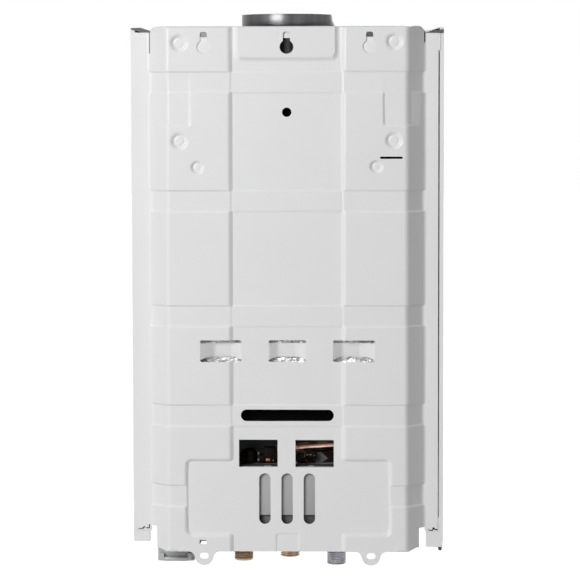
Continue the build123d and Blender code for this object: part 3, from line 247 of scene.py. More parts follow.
def make_spangle():
    """Hot-dip zinc on sheet, with its crystals."""
    f = Finish("galvanised_sheet")
    crystals = f.cells(0.011, output="Color")
    tone = f.node("ShaderNodeSeparateColor", {}, {"Color": crystals}, "Red")
    scratches = f.grain(0.0015, 4.0, 0.6, f.place((1.0, 1.0, 0.12)))
    base = f.mix(tone, (0.34, 0.35, 0.36), (0.50, 0.51, 0.52))
    return f.done(
        Base_Color=base, Metallic=0.9, Roughness=0.34 + tone * 0.18, Normal=f.bump(scratches, 0.00003, 0.5)
    )


def make_foil():
    """Crumpled aluminium foil, with painted shade darkening its fine creases."""
    f = Finish("crumpled_foil")
    folds = f.cells(0.007, "DISTANCE_TO_EDGE", f.place((1.0, 1.0, 1.6)))
    fine = f.cells(0.0032, "DISTANCE_TO_EDGE")
    sheet = f.grain(0.004, 4.0, 0.65, warp=1.5)
    height = folds * 0.5 + fine * 0.25 + sheet * 0.35
    # painted shade: darker where the fine creases fold
    crease_shade = f.ramp(fine, (0.0, 1.0), (0.09, 0.0)) * f.ramp(sheet, (0.45, 0.0), (0.62, 1.0))
    base = f.mix(sheet, (0.88, 0.88, 0.88), (0.97, 0.97, 0.97))
    base = f.mix(crease_shade, base, (0.10, 0.10, 0.10))
    return f.done(Base_Color=base, Metallic=0.45, Roughness=0.3 + sheet * 0.14, Normal=f.bump(height, 0.0010, 0.8))


def make_plastic(name, tone, roughness, grain=0.0007, relief=0.00004, sheen=0.06, specular=0.5):
    """Moulded plastic with a fine spark-eroded texture."""
    f = Finish(name)
    texture = f.grain(grain, 2.0, 0.5)
    clouds = f.grain(0.03, 2.0)
    light = tuple(min(1.0, c * 1.12) for c in tone)
    return f.done(
        Base_Color=f.mix(clouds, tone, light), Roughness=roughness - sheen / 2 + texture * sheen,
        Normal=f.bump(texture, relief, 0.5), Specular_IOR_Level=specular
    )


def make_glass(name, tone, roughness, transmission):
    f = Finish(name)
    smears = f.grain(0.02, 3.0, 0.6, warp=0.6)
    return f.done(
        Base_Color=f.mix(smears, tone, tuple(c * 0.94 for c in tone)), Roughness=roughness + smears * 0.05,
        Transmission_Weight=transmission, IOR=1.5
    )


def make_finishes(paint):
    """Every material of the heater, by the name of its finish."""
    FINISHES.update(
        enamel=make_enamel(paint),
        # flue: dark tones that stand in for the dark room the collar reflects, a painted reflection
        flue=make_metal("plated_flue_steel", (0.05, 0.05, 0.052), (0.15, 0.15, 0.155), 0.29, 0.009,
                        (1.0, 1.0, 0.10), stain_size=0.03),
        galvanised=make_spangle(),
        steel=make_metal("bright_steel", (0.42, 0.42, 0.43), (0.62, 0.62, 0.62), 0.3, 0.003, (1.0, 1.0, 0.2)),
        zinc=make_metal("zinc_plate", (0.36, 0.35, 0.39), (0.60, 0.59, 0.63), 0.36, 0.002, stain=(0.25, 0.24, 0.27),
                        stain_size=0.006),
        copper=make_metal("drawn_copper", (0.55, 0.24, 0.14), (0.86, 0.47, 0.32), 0.22, 0.003, (0.12, 1.0, 1.0),
                          stain=(0.26, 0.11, 0.07), stain_size=0.016),
        pipe=make_metal("bright_copper_pipe", (0.86, 0.50, 0.38), (0.99, 0.74, 0.62), 0.2, 0.003, (0.12, 1.0, 1.0),
                        stain=(0.36, 0.15, 0.09), stain_size=0.02),
        brass=make_metal("machined_brass", (0.44, 0.34, 0.26), (0.66, 0.54, 0.43), 0.34, 0.002, stain=(0.32, 0.23, 0.17),
                         stain_size=0.008),
        tarnish=make_metal("tarnished_brass", (0.26, 0.18, 0.12), (0.48, 0.36, 0.27), 0.42, 0.002,
                           stain=(0.16, 0.09, 0.05), stain_size=0.007),
        casting=make_metal("dark_coated_casting", (0.018, 0.014, 0.012), (0.045, 0.038, 0.034), 0.5, 0.0012, relief=0.00012,
                           metallic=0.3),
        blued=make_metal("blued_steel", (0.03, 0.031, 0.034), (0.08, 0.08, 0.085), 0.42, 0.002, (1.0, 1.0, 0.15)),
        foil=make_foil(),
        black=make_plastic("black_plastic", (0.016, 0.016, 0.016), 0.48),
        gloss=make_plastic("black_gloss_panel", (0.009, 0.009, 0.010), 0.13, 0.02, 0.00001),
        grey=make_plastic("light_grey_plastic", (0.37, 0.37, 0.37), 0.5),
        # painted shade: black sheets that stand for the dark behind slots and slits
        felt=make_plastic("black_insulation_felt", (0.003, 0.003, 0.003), 0.9, 0.0015, 0.0004, specular=0.04),
        # painted shade: mid grey sheets in the left keyhole's upper slot and the left flange gap
        seal=make_plastic("grey_foam_seal", (0.34, 0.34, 0.34), 0.85, 0.0012, 0.0002),
        # painted shade: dark grey sheet standing for the cover's white inside in shadow
        shade=make_plastic("painted_shade_backdrop_grey", (0.13, 0.13, 0.136), 0.6),
        # painted shade: dark grey sheets for shaded gaps and recesses
        smoke=make_plastic("smoked_grey", (0.075, 0.075, 0.078), 0.4),
        primer=make_plastic("white_backing", (0.76, 0.76, 0.76), 0.5),
        brown=make_plastic("dark_brown_moulding", (0.008, 0.004, 0.003), 0.5, specular=0.08),
        amber=make_plastic("amber_plug", (0.42, 0.17, 0.04), 0.35),
        nylon=make_plastic("pale_nylon", (0.24, 0.24, 0.25), 0.4),
        battery=make_metal("grey_box_lacquer", (0.38, 0.385, 0.385), (0.50, 0.505, 0.505), 0.4, 0.0009,
                           metallic=0.15, stain_size=0.02),
        rubber=make_plastic("black_rubber", (0.02, 0.02, 0.02), 0.72, 0.0012, 0.00008),
        glass=make_glass("window_glass", (0.92, 0.96, 0.95), 0.03, 1.0),
        lens=make_glass("dark_display_lens", (0.10, 0.13, 0.13), 0.05, 0.6),
        ceramic=make_plastic("glazed_ceramic", (0.78, 0.76, 0.70), 0.16, 0.003, 0.00002),
        jacket=make_plastic("cell_jacket", (0.07, 0.09, 0.13), 0.28),
        sleeve=make_plastic("wire_sleeve", (0.02, 0.02, 0.02), 0.45),
    )


# ---- mesh helpers ----------------------------------------------------------------------------------
def piece(name, bm, finish, body=CHASSIS, stands_for=(), angle=35.0, weld=True):
    """Turns a bmesh in millimetres into a piece of the heater that rides on a body."""
    if weld:
        bmesh.ops.remove_doubles(bm, verts=bm.verts, dist=0.0005)
    bmesh.ops.recalc_face_normals(bm, faces=bm.faces)
    mesh = bpy.data.meshes.new(name)
    bm.to_mesh(mesh)
    bm.free()
    mesh.transform(Matrix.Scale(MM, 4))
    return settle(name, mesh, finish, body, stands_for, angle)


def settle(name, mesh, finish, body=CHASSIS, stands_for=(), angle=35.0):
    made = bpy.data.objects.new(name, mesh)
    bpy.context.scene.collection.objects.link(made)
    mesh.materials.clear()
    mesh.materials.append(FINISHES[finish])
    round_shading(mesh, angle)
    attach(made, body)
    if stands_for:
        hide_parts(*stands_for)
    return made


def round_shading(mesh, angle):
    mesh.polygons.foreach_set("use_smooth", [True] * len(mesh.polygons))
    mesh.set_sharp_from_angle(angle=math.radians(angle))


def carve(mesh, cutter):
    """The mesh less the solids of a cutter bmesh, both in millimetres."""
    bmesh.ops.recalc_face_normals(cutter, faces=cutter.faces)
    knife_mesh = bpy.data.meshes.new("knife")
    cutter.to_mesh(knife_mesh)
    cutter.free()
    block = bpy.data.objects.new("blank", mesh)
    knife = bpy.data.objects.new("knife", knife_mesh)
    for thing in (block, knife):
        bpy.context.scene.collection.objects.link(thing)
    cut = block.modifiers.new("cut", "BOOLEAN")
    cut.operation = "DIFFERENCE"
    cut.solver = "MANIFOLD"
    cut.object = knife
    bpy.context.view_layer.update()
    graph = bpy.context.evaluated_depsgraph_get()
    made = bpy.data.meshes.new_from_object(block.evaluated_get(graph))
    for thing in (block, knife):
        data = thing.data
        bpy.data.objects.remove(thing)
        bpy.data.meshes.remove(data)
    return made


def thin_out(mesh, angle=0.06):
    """Merges the faces of flat areas, and leaves triangles."""
    bm = bmesh.new()
    bm.from_mesh(mesh)
    bmesh.ops.remove_doubles(bm, verts=bm.verts, dist=0.0005)
    bmesh.ops.dissolve_degenerate(bm, dist=0.0005, edges=bm.edges[:])
    bmesh.ops.dissolve_limit(bm, angle_limit=math.radians(angle), verts=bm.verts[:], edges=bm.edges[:])
    bmesh.ops.triangulate(bm, faces=bm.faces[:], quad_method="BEAUTY", ngon_method="BEAUTY")
    bmesh.ops.recalc_face_normals(bm, faces=bm.faces)
    bm.to_mesh(mesh)
    bm.free()
    return mesh


def box(bm, low, high, bevel=0.0, segments=2):
    """Adds a box between two corners, with its edges bevelled."""
    made = bmesh.ops.create_cube(bm, size=1.0)["verts"]
    size = [b - a for a, b in zip(low, high)]
    middle = [(a + b) / 2 for a, b in zip(low, high)]
    bmesh.ops.scale(bm, vec=size, verts=made)
    bmesh.ops.translate(bm, vec=middle, verts=made)
    if bevel:
        edges = list({e for v in made for e in v.link_edges})
        bmesh.ops.bevel(
            bm, geom=edges, offset=bevel, segments=segments, profile=0.5, affect="EDGES", material=-1
        )
    return made


def lathe(bm, centre, axis, profile, steps=48, closed=True):
    """Spins a profile of (radius, height) points round an axis through centre."""
    axis = Vector(axis)
    side = axis.orthogonal().normalized()
    centre = Vector(centre)
    verts = [bm.verts.new(centre + side * r + axis * h) for r, h in profile]
    edges = [bm.edges.new(pair) for pair in zip(verts, verts[1:])]
    if closed:
        edges.append(bm.edges.new((verts[-1], verts[0])))
    made = bmesh.ops.spin(
        bm, geom=verts + edges, cent=centre, axis=axis, dvec=(0, 0, 0), angle=math.tau, steps=steps,
        use_merge=True
    )
    return made


def prism(bm, outline, axis, start, end, round_corners=0.0, segments=5, corners=None):
    """Extrudes a flat outline along 'y' or 'z', with its corners rounded first."""
    def at(a, b, h):
        return (a, h, b) if axis == "y" else (a, b, h)

    verts = [bm.verts.new(at(a, b, start)) for a, b in outline]
    face = bm.faces.new(verts)
    if round_corners:
        picked = verts if corners is None else [verts[n] for n in corners]
        made = bmesh.ops.bevel(
            bm, geom=picked, offset=round_corners, segments=segments, profile=0.5, affect="VERTICES", material=-1
        )
        face = next(f for f in bm.faces if f.is_valid and len(f.verts) > len(outline) or f == face)
        faces = {f for v in made["verts"] for f in v.link_faces} or {face}
        face = max(faces, key=lambda f: f.calc_area())
    grown = bmesh.ops.extrude_face_region(bm, geom=[face])
    top = [v for v in grown["geom"] if isinstance(v, bmesh.types.BMVert)]
    bmesh.ops.translate(bm, vec=Vector(at(0, 0, end - start)), verts=top)
    return top


def slot_cutter(bm, x, z, half_long, half_wide, upright, y0, y1):
    """A round-ended slot cutter through the sheet."""
    made = bmesh.ops.create_circle(bm, cap_ends=True, radius=half_wide, segments=28)["verts"]
    bmesh.ops.rotate(bm, cent=(0, 0, 0), matrix=Matrix.Rotation(math.radians(90), 3, "X"), verts=made)
    reach = half_long - half_wide
    for v in made:
        if upright:
            v.co.z += reach if v.co.z > 0.001 else -reach
        else:
            v.co.x += reach if v.co.x > 0.001 else -reach
    bmesh.ops.translate(bm, vec=(x, y0, z), verts=made)
    face = made[0].link_faces[0]
    grown = bmesh.ops.extrude_face_region(bm, geom=[face])
    top = [v for v in grown["geom"] if isinstance(v, bmesh.types.BMVert)]
    bmesh.ops.translate(bm, vec=(0, y1 - y0, 0), verts=top)


# ---- pressed back panel ----------------------------------------------------------------------------
FACE_HALF, FOOT_HALF, PAN_DEPTH = 128.5, 147.8, 20.0
PAN_TOP, PAN_BOTTOM = 22.1, -543.2
FLANGE_LEFT, FLANGE_RIGHT, FLANGE_TOP, FLANGE_BOTTOM = -167.6, 162.2, 16.0, -522.6
GAP_EDGE, GAP_FOOT, PAN_CORNER = 146.9, (-6.5, 4.8), 6.0
STEP_Z, STEP_HALF = (-517.2, -518.6), 142.0
BANDS = ((-25.2, -49.9), (-152.0, -176.7), (-275.6, -300.4), (-382.6, -407.9), (-469.7, -495.0))
BAND_DEPTH, BAND_SLOPE = 1.6, 2.4
CHANNEL_HALF, CHANNEL_DEPTH, CHANNEL_BAND, CHANNEL_FLARE, JOIN = 58.0, 3.2, 2.3, 1.25, 4.5
TEE = (-107.0, 109.0, -522.5, -445.0)
DIMPLES = ((-115.0, 4.3, 9.3, 5.8), (114.7, 5.5, 9.3, 5.8), (-115.0, -100.0, 9.3, 5.8), (114.2, -99.4, 9.3, 5.8),
           (-95.8, -128.0, 7.2, 4.4), (95.5, -127.4, 7.2, 4.4))
LANCES = ((-93.5, -49.1), (-20.1, 20.2), (49.2, 94.2))
LANCE_Z = (-313.7, -317.0, -332.0, -337.0)
LANCE_RAMP, LANCE_FLOOR, LANCE_TAPER = 0.62, 9.4, 2.6
EAR_Z, EAR_R, EAR_BLEND = -547.2, 10.2, 7.0
SLITS = (
    [(-154.4, -520.8), (-150.3, -520.8), (-150.3, -516.3), (-151.5, -516.3), (-151.5, -519.8), (-154.4, -519.8)],
    [(-163.0, -521.4), (-158.0, -521.4), (-156.6, -520.3), (-155.1, -519.4), (-156.7, -518.2), (-158.6, -520.5), (-163.0, -520.6)],
    [(150.7, -519.9), (153.4, -521.4), (155.6, -521.9), (156.8, -520.4), (156.6, -519.0), (158.4, -518.8), (159.0, -520.2),
     (162.2, -521.0), (162.2, -522.2), (159.6, -521.6), (158.0, -521.2), (156.2, -523.0), (153.2, -522.4)],
)


def soft_max(a, b, width):
    """The larger of two depths, rounded over width where they cross."""
    if width <= 0 or abs(a - b) >= width:
        return max(a, b)
    share = 0.5 + 0.5 * (a - b) / width
    return a * share + b * (1 - share) + width * share * (1 - share)


def soft_min(a, b, width):
    return -soft_max(-a, -b, width)


def ease(value, start, end):
    """0 before start and 1 after end, with a smooth rise between."""
    share = min(1.0, max(0.0, (value - start) / (end - start)))
    return share * share * (3 - 2 * share)


def in_band(z, last=5):
    """1 inside a pressed band, 0 outside."""
    return max(
        ease(top - z, -0.3, BAND_SLOPE) * (1 - ease(bottom + BAND_SLOPE - z, -0.3, BAND_SLOPE))
        for top, bottom in BANDS[:last]
    )


def outside_box(x, z, left, right, bottom, top, corner):
    """Distance outside a rectangle with rounded corners, negative inside."""
    dx = abs(x - (left + right) / 2) - (right - left) / 2 + corner
    dz = abs(z - (bottom + top) / 2) - (top - bottom) / 2 + corner
    return math.hypot(max(dx, 0.0), max(dz, 0.0)) + min(max(dx, dz), 0.0) - corner


def panel_depth(x, z, s):
    """Depth of the panel's wall-side skin behind the wall plane."""
    slope = PAN_DEPTH / (FOOT_HALF - FACE_HALF)
    band = in_band(z)
    depth = BAND_DEPTH * band
    beyond = abs(x) - FACE_HALF
    if abs(x) < FACE_HALF + 6:
        corner = outside_box(abs(x), z, 104.5, 150.0, -82.5, -30.0, 2.0)
        depth = soft_max(depth, BAND_DEPTH - max(0.0, corner), s.press_bend)
        for px, pz, outer, inner in DIMPLES:
            away = math.hypot(x - px, z - pz)
            if away < outer + 2:
                bowl = 2.6 - 2.6 * (away - inner) / (outer - inner)
                bowl = min(bowl, 2.1 + 0.5 * ease(away, inner - 1.8, inner - 0.6))
                depth = soft_max(depth, bowl, 0.7)
        floor = CHANNEL_DEPTH - (CHANNEL_DEPTH - CHANNEL_BAND) * in_band(z, 4)
        wide = CHANNEL_HALF + (CHANNEL_DEPTH - floor) * CHANNEL_FLARE
        side = max(0.0, abs(x) - wide) / CHANNEL_FLARE
        tee = outside_box(x, z, *TEE, 4.0)
        away = max(JOIN, min(side, tee)) - math.hypot(max(JOIN - side, 0.0), max(JOIN - tee, 0.0))
        depth = soft_max(depth, floor - max(0.0, away), s.press_bend)
        pad = outside_box(x, z, -51.5, 51.5, -11.0, 60.0, 5.0)
        depth = soft_min(depth, max(0.0, pad) / 1.1, s.press_bend)
        foot = outside_box(x, z, -11.5, 11.5, -560.0, -524.0, 2.0)
        depth = soft_max(depth, CHANNEL_DEPTH + 0.9 - max(0.0, foot), 0.6)
        for left, right in LANCES:
            if left < x < right and LANCE_Z[2] - 0.1 < z < LANCE_Z[1] + 0.1:
                ends = [0.0 if end in (LANCES[0][0], LANCES[2][1]) else CHANNEL_DEPTH for end in (left, right)]
                ramp = min(ends[0] + LANCE_RAMP * (x - left), ends[1] + LANCE_RAMP * (right - x))
                depth = soft_max(depth, soft_min(ramp, LANCE_FLOOR, 1.5), 0.8)
    if beyond > -8:
        depth = soft_max(depth, slope * beyond + depth * 1.35, s.side_bend)
    depth = soft_min(depth, PAN_DEPTH, s.foot_bend)
    for edge in (PAN_TOP - z, z - PAN_BOTTOM):
        if edge < s.edge_bend and abs(x) < FOOT_HALF:
            fall = s.edge_bend - math.sqrt(max(0.0, s.edge_bend**2 - (s.edge_bend - edge) ** 2))
            depth = max(depth, min(PAN_DEPTH, fall + depth * 0.6))
    return depth


def lines(stops, spans, widest):
    """Sorted grid lines: the stops, spans cut at their own spacing, and gaps no wider than widest."""
    found = set(stops)
    for low, high, gap in spans:
        count = max(1, round((high - low) / gap))
        found |= {low + (high - low) * n / count for n in range(count + 1)}
    ordered = []
    for value in sorted(found):
        if ordered and value - ordered[-1] < 0.22:
            continue
        if ordered:
            last = ordered[-1]
            more = math.ceil((value - last) / widest)
            ordered += [last + (value - last) * n / more for n in range(1, more)]
        ordered.append(value)
    return ordered


def panel_grid():
    """Lines across and up the panel, close together where it bends."""
    across = {FLANGE_LEFT, FLANGE_RIGHT, 0.0, -STEP_HALF, STEP_HALF, -GAP_EDGE, GAP_EDGE, -148.4, 148.4}
    spans = []
    for side in (-1, 1):
        for low, high, gap in ((122, 133.5, 0.95), (141.2, 150.5, 0.9), (56, 64, 0.7), (49.5, 56, 0.8), (102.5, 106.5, 0.7)):
            spans.append((*sorted((side * low, side * high)), gap))
        for low, high in ((105.2, 124.8), (87.8, 103.2)):
            spans.append((*sorted((side * low, side * high)), 0.6))
        spans.append((*sorted((side * 10.5, side * 13.5)), 0.7))
    spans += [(-111.5, -106, 0.8), (108, 113.5, 0.8)]
    for left, right in LANCES:
        across |= {left, right}
        spans += [(left, left + 18, 1.2), (right - 18, right, 1.2)]
    up = {FLANGE_TOP, FLANGE_BOTTOM, *STEP_Z, *GAP_FOOT, *LANCE_Z, -314.5, -316.3, -336.2}
    rises = [(PAN_TOP - 3.3, PAN_TOP, 0.55), (-5.8, 15.5, 0.6), (-16, -10, 0.7), (-110, -90, 0.6), (-136, -120, 0.6),
             (-85.5, -81.5, 0.7), (-446.5, -440.5, 0.8), (-527, -521, 0.7), (PAN_BOTTOM, PAN_BOTTOM + 3.3, 0.55)]
    for top, bottom in BANDS:
        rises += [(top - 3.0, top + 1.0, 0.6), (bottom - 1.0, bottom + 3.2, 0.6)]
    return lines(across, spans, 12.0), lines(up, rises, 12.0)


def rounded_corner(x, z):
    """Pulls the square upper corners of the pan in to a quarter round."""
    a = (abs(x) - GAP_EDGE + PAN_CORNER) / PAN_CORNER
    b = (z - PAN_TOP + PAN_CORNER) / PAN_CORNER
    if a <= 0 or b <= 0 or a > 1.001:
        return x, z
    across = GAP_EDGE - PAN_CORNER + PAN_CORNER * a * math.sqrt(1 - b * b / 2)
    return math.copysign(across, x), PAN_TOP - PAN_CORNER + PAN_CORNER * b * math.sqrt(1 - a * a / 2)


def panel_skin(s):
    """The panel's wall-side skin: a plane grid, warped to the lines and pressed to depth."""
    xs, zs = panel_grid()
    bm = bmesh.new()
    bmesh.ops.create_grid(bm, x_segments=len(xs) - 1, y_segments=len(zs) - 1, size=1.0)
    for v in bm.verts:
        x = xs[round((v.co.x + 1) / 2 * (len(xs) - 1))]
        z = zs[round((v.co.y + 1) / 2 * (len(zs) - 1))]
        v.co = (x, panel_depth(x, z, s), z)
        for left, right in LANCES:
            if left <= x <= right and z == LANCE_Z[2]:
                v.co.z -= LANCE_TAPER * (1 - ease(min(x - left, right - x), 0.0, 9.0))

    def outside(face):
        x, _, z = face.calc_center_median()
        wide = abs(x)
        if wide > 148.0 and not FLANGE_BOTTOM < z < FLANGE_TOP:
            return True
        if GAP_EDGE < wide < 148.4 and z > GAP_FOOT[x > 0]:
            return True
        if z < STEP_Z[x > 0] and STEP_HALF < wide < 148.4:
            return True
        if z < FLANGE_BOTTOM and wide > STEP_HALF:
            return True
        for left, right in LANCES:
            if left < x < right:
                tip = min(x - left, right - x) < 1.0
                if LANCE_Z[1] + 0.7 * tip < z < LANCE_Z[0] - 0.8 * tip or LANCE_Z[3] + 0.8 * tip < z < LANCE_Z[2]:
                    return True
        return False

    bmesh.ops.delete(bm, geom=[f for f in bm.faces if outside(f)], context="FACES")
    for edge_z, half in ((PAN_TOP, FOOT_HALF), (PAN_BOTTOM, STEP_HALF + 0.1)):
        rim = [
            e for e in bm.edges
            if e.is_boundary and all(abs(v.co.z - edge_z) < 0.01 and abs(v.co.x) < half for v in e.verts)
        ]
        grown = bmesh.ops.extrude_edge_only(bm, edges=rim)
        for v in grown["geom"]:
            if isinstance(v, bmesh.types.BMVert):
                v.co.y = PAN_DEPTH
    for v in bm.verts:
        v.co.x, v.co.z = rounded_corner(v.co.x, v.co.z)
    bmesh.ops.recalc_face_normals(bm, faces=bm.faces)
    if sum(f.normal.y for f in bm.faces) > 0:
        bmesh.ops.reverse_faces(bm, faces=bm.faces)
    return bm


def second_cutters():
    """The upper slots of the keyholes and the bent-tab slits near the feet of the flanges."""
    bm = bmesh.new()
    for x in (-88.5, 0.0, 88.5):
        prism(bm, [(x - 3.75, 2.0), (x + 3.75, 2.0), (x + 3.75, 16.0), (x - 3.75, 16.0)], "y", -5, 16, 2.3, 4, corners=(2, 3))
    for outline in SLITS:
        prism(bm, outline, "y", 15, 25)
    return bm


def panel_cutters():
    bm = bmesh.new()
    for x in (-88.5, 0.0, 88.5):
        slot_cutter(bm, x, 0, 7.3, 7.299, False, -5, 16)
    slot_cutter(bm, 0, -69.4, 5.0, 4.999, False, -5, 16)
    slot_cutter(bm, 111.7, -118.0, 12.0, 1.2, False, -5, 16)
    slot_cutter(bm, 0, -394.8, 50.0, 6.3, False, -5, 16)
    for n in (-1, 0, 1):
        slot_cutter(bm, -0.5 + n * 24.0, -485.35, 27.55, 6.2, True, -5, 16)
    box(bm, (-52.2, -5, -450.8), (-10.6, 16, -421.3))
    box(bm, (8.6, -5, -451.1), (49.9, 16, -421.6))
    for corner in (((-128.0, 0.0), (-142.4, 3.4), (-150.0, 3.5)), ((129.0, 0.0), (135.5, 2.4), (139.0, 3.7), (150.0, 3.9))):
        outline = [(corner[0][0], -560), *((x, PAN_BOTTOM + rise) for x, rise in corner), (corner[-1][0], -560)]
        prism(bm, outline, "y", -5, 30)
    box(bm, (-95.0, -5, -534.6), (-87.5, 16, -530.0))
    return bm


def ear_outline(x):
    """A round ear below the bottom edge, blended into it."""
    base = PAN_BOTTOM + 0.6
    rise = EAR_Z - base + EAR_BLEND
    reach = math.sqrt((EAR_R + EAR_BLEND) ** 2 - rise**2)
    lean = math.atan2(rise, reach)
    half = []
    for n in range(9):
        turn = math.pi / 2 + (math.pi / 2 - lean) * n / 8
        half.append((reach + EAR_BLEND * math.cos(turn), base - EAR_BLEND + EAR_BLEND * math.sin(turn)))
    for n in range(1, 17):
        turn = -lean - (math.pi / 2 - lean) * n / 16
        half.append((EAR_R * math.cos(turn), EAR_Z + EAR_R * math.sin(turn)))
    right = [(x + 28, base + 2.6), (x + 28, base)] + [(x + a, b) for a, b in half]
    left = [(x - a, b) for a, b in reversed(half[:-1])] + [(x - 28, base), (x - 28, base + 2.6)]
    return right + left


def build_panel(s):
    bm = panel_skin(s)
    bmesh.ops.solidify(bm, geom=bm.faces[:], thickness=s.sheet)
    bmesh.ops.recalc_face_normals(bm, faces=bm.faces)
    blank = bpy.data.meshes.new("panel_blank")
    bm.to_mesh(blank)
    bm.free()
    made = thin_out(carve(carve(blank, panel_cutters()), second_cutters()))
    made.transform(Matrix.Scale(MM, 4))
    panel = settle("pressed_back_panel", made, "enamel", stands_for=("back_panel",), angle=38.0)
    even = panel.modifiers.new("even_shading", "WEIGHTED_NORMAL")
    even.keep_sharp = True

    bm = bmesh.new()
    for x in (-90.0, 90.0):
        prism(bm, ear_outline(x), "y", 0.0, 1.0)
    blank = bpy.data.meshes.new("ear_blank")
    bmesh.ops.recalc_face_normals(bm, faces=bm.faces)
    bm.to_mesh(blank)
    bm.free()
    holes = bmesh.new()
    for x in (-90.0, 90.0):
        slot_cutter(holes, x, -547.3, 4.8, 3.35, False, -5, 6)
    made = carve(blank, holes)
    made.transform(Matrix.Scale(MM, 4))
    settle("wall_ears", made, "enamel")
    return panel


# ---- behind the openings ---------------------------------------------------------------------------
def bent(points, trim, steps=6):
    """A path through the points, with its corners rounded over trim each way."""
    points = [Vector(p) for p in points]
    path = [points[0]]
    for before, corner, after in zip(points, points[1:], points[2:]):
        start = corner + (before - corner).normalized() * trim
        end = corner + (after - corner).normalized() * trim
        for n in range(steps + 1):
            share = n / steps
            path.append(start.lerp(corner, share).lerp(corner.lerp(end, share), share))
    return path + [points[-1]]


def hose(bm, points, radius, sides=10):
    """A round tube along a path, closed by flat ends."""
    path = [Vector(p) for p in points]
    ring = bmesh.ops.create_circle(bm, cap_ends=True, segments=sides, radius=radius)["verts"]
    heading = (path[1] - path[0]).normalized()
    bmesh.ops.transform(
        bm, verts=ring, matrix=Matrix.Translation(path[0]) @ heading.to_track_quat("Z", "Y").to_matrix().to_4x4()
    )
    face = ring[0].link_faces[0]
    for n, (here, there) in enumerate(zip(path, path[1:])):
        grown = bmesh.ops.extrude_face_region(bm, geom=[face])
        face = next(g for g in grown["geom"] if isinstance(g, bmesh.types.BMFace))
        last = n + 2 >= len(path)
        ahead = heading if last else ((path[n + 2] - there).normalized() + (there - here).normalized()).normalized()
        turn = Matrix.Translation(there) @ heading.rotation_difference(ahead).to_matrix().to_4x4() @ Matrix.Translation(-here)
        bmesh.ops.transform(bm, verts=face.verts[:], matrix=turn)
        heading = ahead


def build_backing():
    """Sheets of painted shade, foil and plates seen through the holes of the back panel."""
    # Mid grey sheets: painted shade in the left keyhole's upper slot and in the gap beside the left flange's top
    bm = bmesh.new()
    box(bm, (-102, 1.4, 10.7), (-76, 2.0, 18.5), 0.2)
    box(bm, (-152.5, 20.3, -12.5), (-146.0, 21.0, 16.0), 0.2)
    piece("grey_seals", bm, "seal")

    # Dark grey sheets: painted shade in the right keyhole's upper slot, below the vents, along the foot of the windows
    # and in the top corner gaps under the cover's top
    bm = bmesh.new()
    box(bm, (76, 1.4, 10.7), (102, 2.0, 18.5), 0.2)
    box(bm, (-48, 14, -541), (64, 15.2, -503.8), 0.3)
    box(bm, (-54.5, 9.5, -452.2), (53.5, 29.8, -451), 0.3)
    prism(bm, [(-167.6, 19.3), (-157.8, 16.8), (-146.8, 15.8), (-146.3, 17.7), (-157.3, 21.3), (-167.6, 20.9)], "y", 19.7, 20.9)
    prism(bm, [(148.8, 14.8), (167.4, 14.8), (167.4, 18.6), (157.6, 17.8), (155.3, 16.6), (155.0, 15.9), (148.8, 15.7)], "y", 19.7, 20.9)
    piece("painted_shade_edges", bm, "smoke")

    bm = bmesh.new()
    for side in (-1, 1):
        x0, x1 = sorted((side * 75, side * 103))
        box(bm, (x0, 1.4, -12), (x1, 2.0, 10.5), 0.2)
    box(bm, (162.0, 20.2, -4.0), (164.4, 20.9, 14.6), 0.2)
    box(bm, (161.0, 21.1, -524.0), (166.0, 22.0, -508.0), 0.2)
    piece("white_backing", bm, "primer")

    # Black sheets behind the long slot, the pilot hole and the small slot, slivers in the flange slits and a stroke in
    # the square cut: painted shade for the dark behind these openings
    bm = bmesh.new()
    box(bm, (-64, 18.6, -408), (64, 20.6, -380), 0.3)
    box(bm, (-10, 12, -84), (10, 14, -58), 0.3)
    box(bm, (97, 12, -122), (126, 13, -114), 0.3)
    for outline in SLITS:
        prism(bm, outline, "y", 20.25, 20.9)
    prism(bm, [(-95.6, -534.6), (-94.4, -534.6), (-92.6, -530.0), (-93.8, -530.0)], "y", 0.4, 1.4)
    piece("black_felts", bm, "felt")

    bm = bmesh.new()
    box(bm, (-9, 2.4, 9.4), (9, 3.2, 19.0), 0.2)
    box(bm, (-9, 1.7, 9.4), (9, 3.2, 10.4), 0.2)
    piece("hood_lip", bm, "enamel")

    bm = bmesh.new()
    made = bmesh.ops.create_grid(bm, x_segments=120, y_segments=18, size=0.5)["verts"]
    for v in made:
        place = Vector((v.co.x * 204, 0.0, v.co.y * 30))
        shake = noise.noise_vector(place * 0.9)
        folds = noise.voronoi(place * 0.24, distance_metric="DISTANCE")[0]
        depth = 12.4 + min(1.4, (folds[1] - folds[0]) * 2.2) - 1.0 * noise.noise(place * 0.11)
        v.co = (place.x + shake.x * 0.7, depth + shake.y * 0.35, -327.0 + place.z + shake.z * 0.6)
    bmesh.ops.solidify(bm, geom=bm.faces[:], thickness=0.15)
    piece("crumpled_foil", bm, "foil", angle=8.0)

    bm = bmesh.new()
    box(bm, (-46, 8, -503.8), (50, 9.2, -451), 0.3)
    box(bm, (-25.5, 9.0, -451.2), (-17.5, 13.0, -450.4), 0.3)
    box(bm, (22.5, 9.0, -451.2), (28.5, 13.0, -450.4), 0.3)
    piece("igniter_cradle", bm, "grey")


def build_clip():
    """The black clip at the foot of the right side, narrower below."""
    bm = bmesh.new()
    prism(bm, [(162.2, -528.6), (166.9, -528.6), (167.0, -541.0), (166.3, -544.4), (163.5, -544.4), (162.4, -541.0)], "y", 22.0, 28.0)
    piece("black_clip", bm, "rubber", stands_for=("corner_clip",))


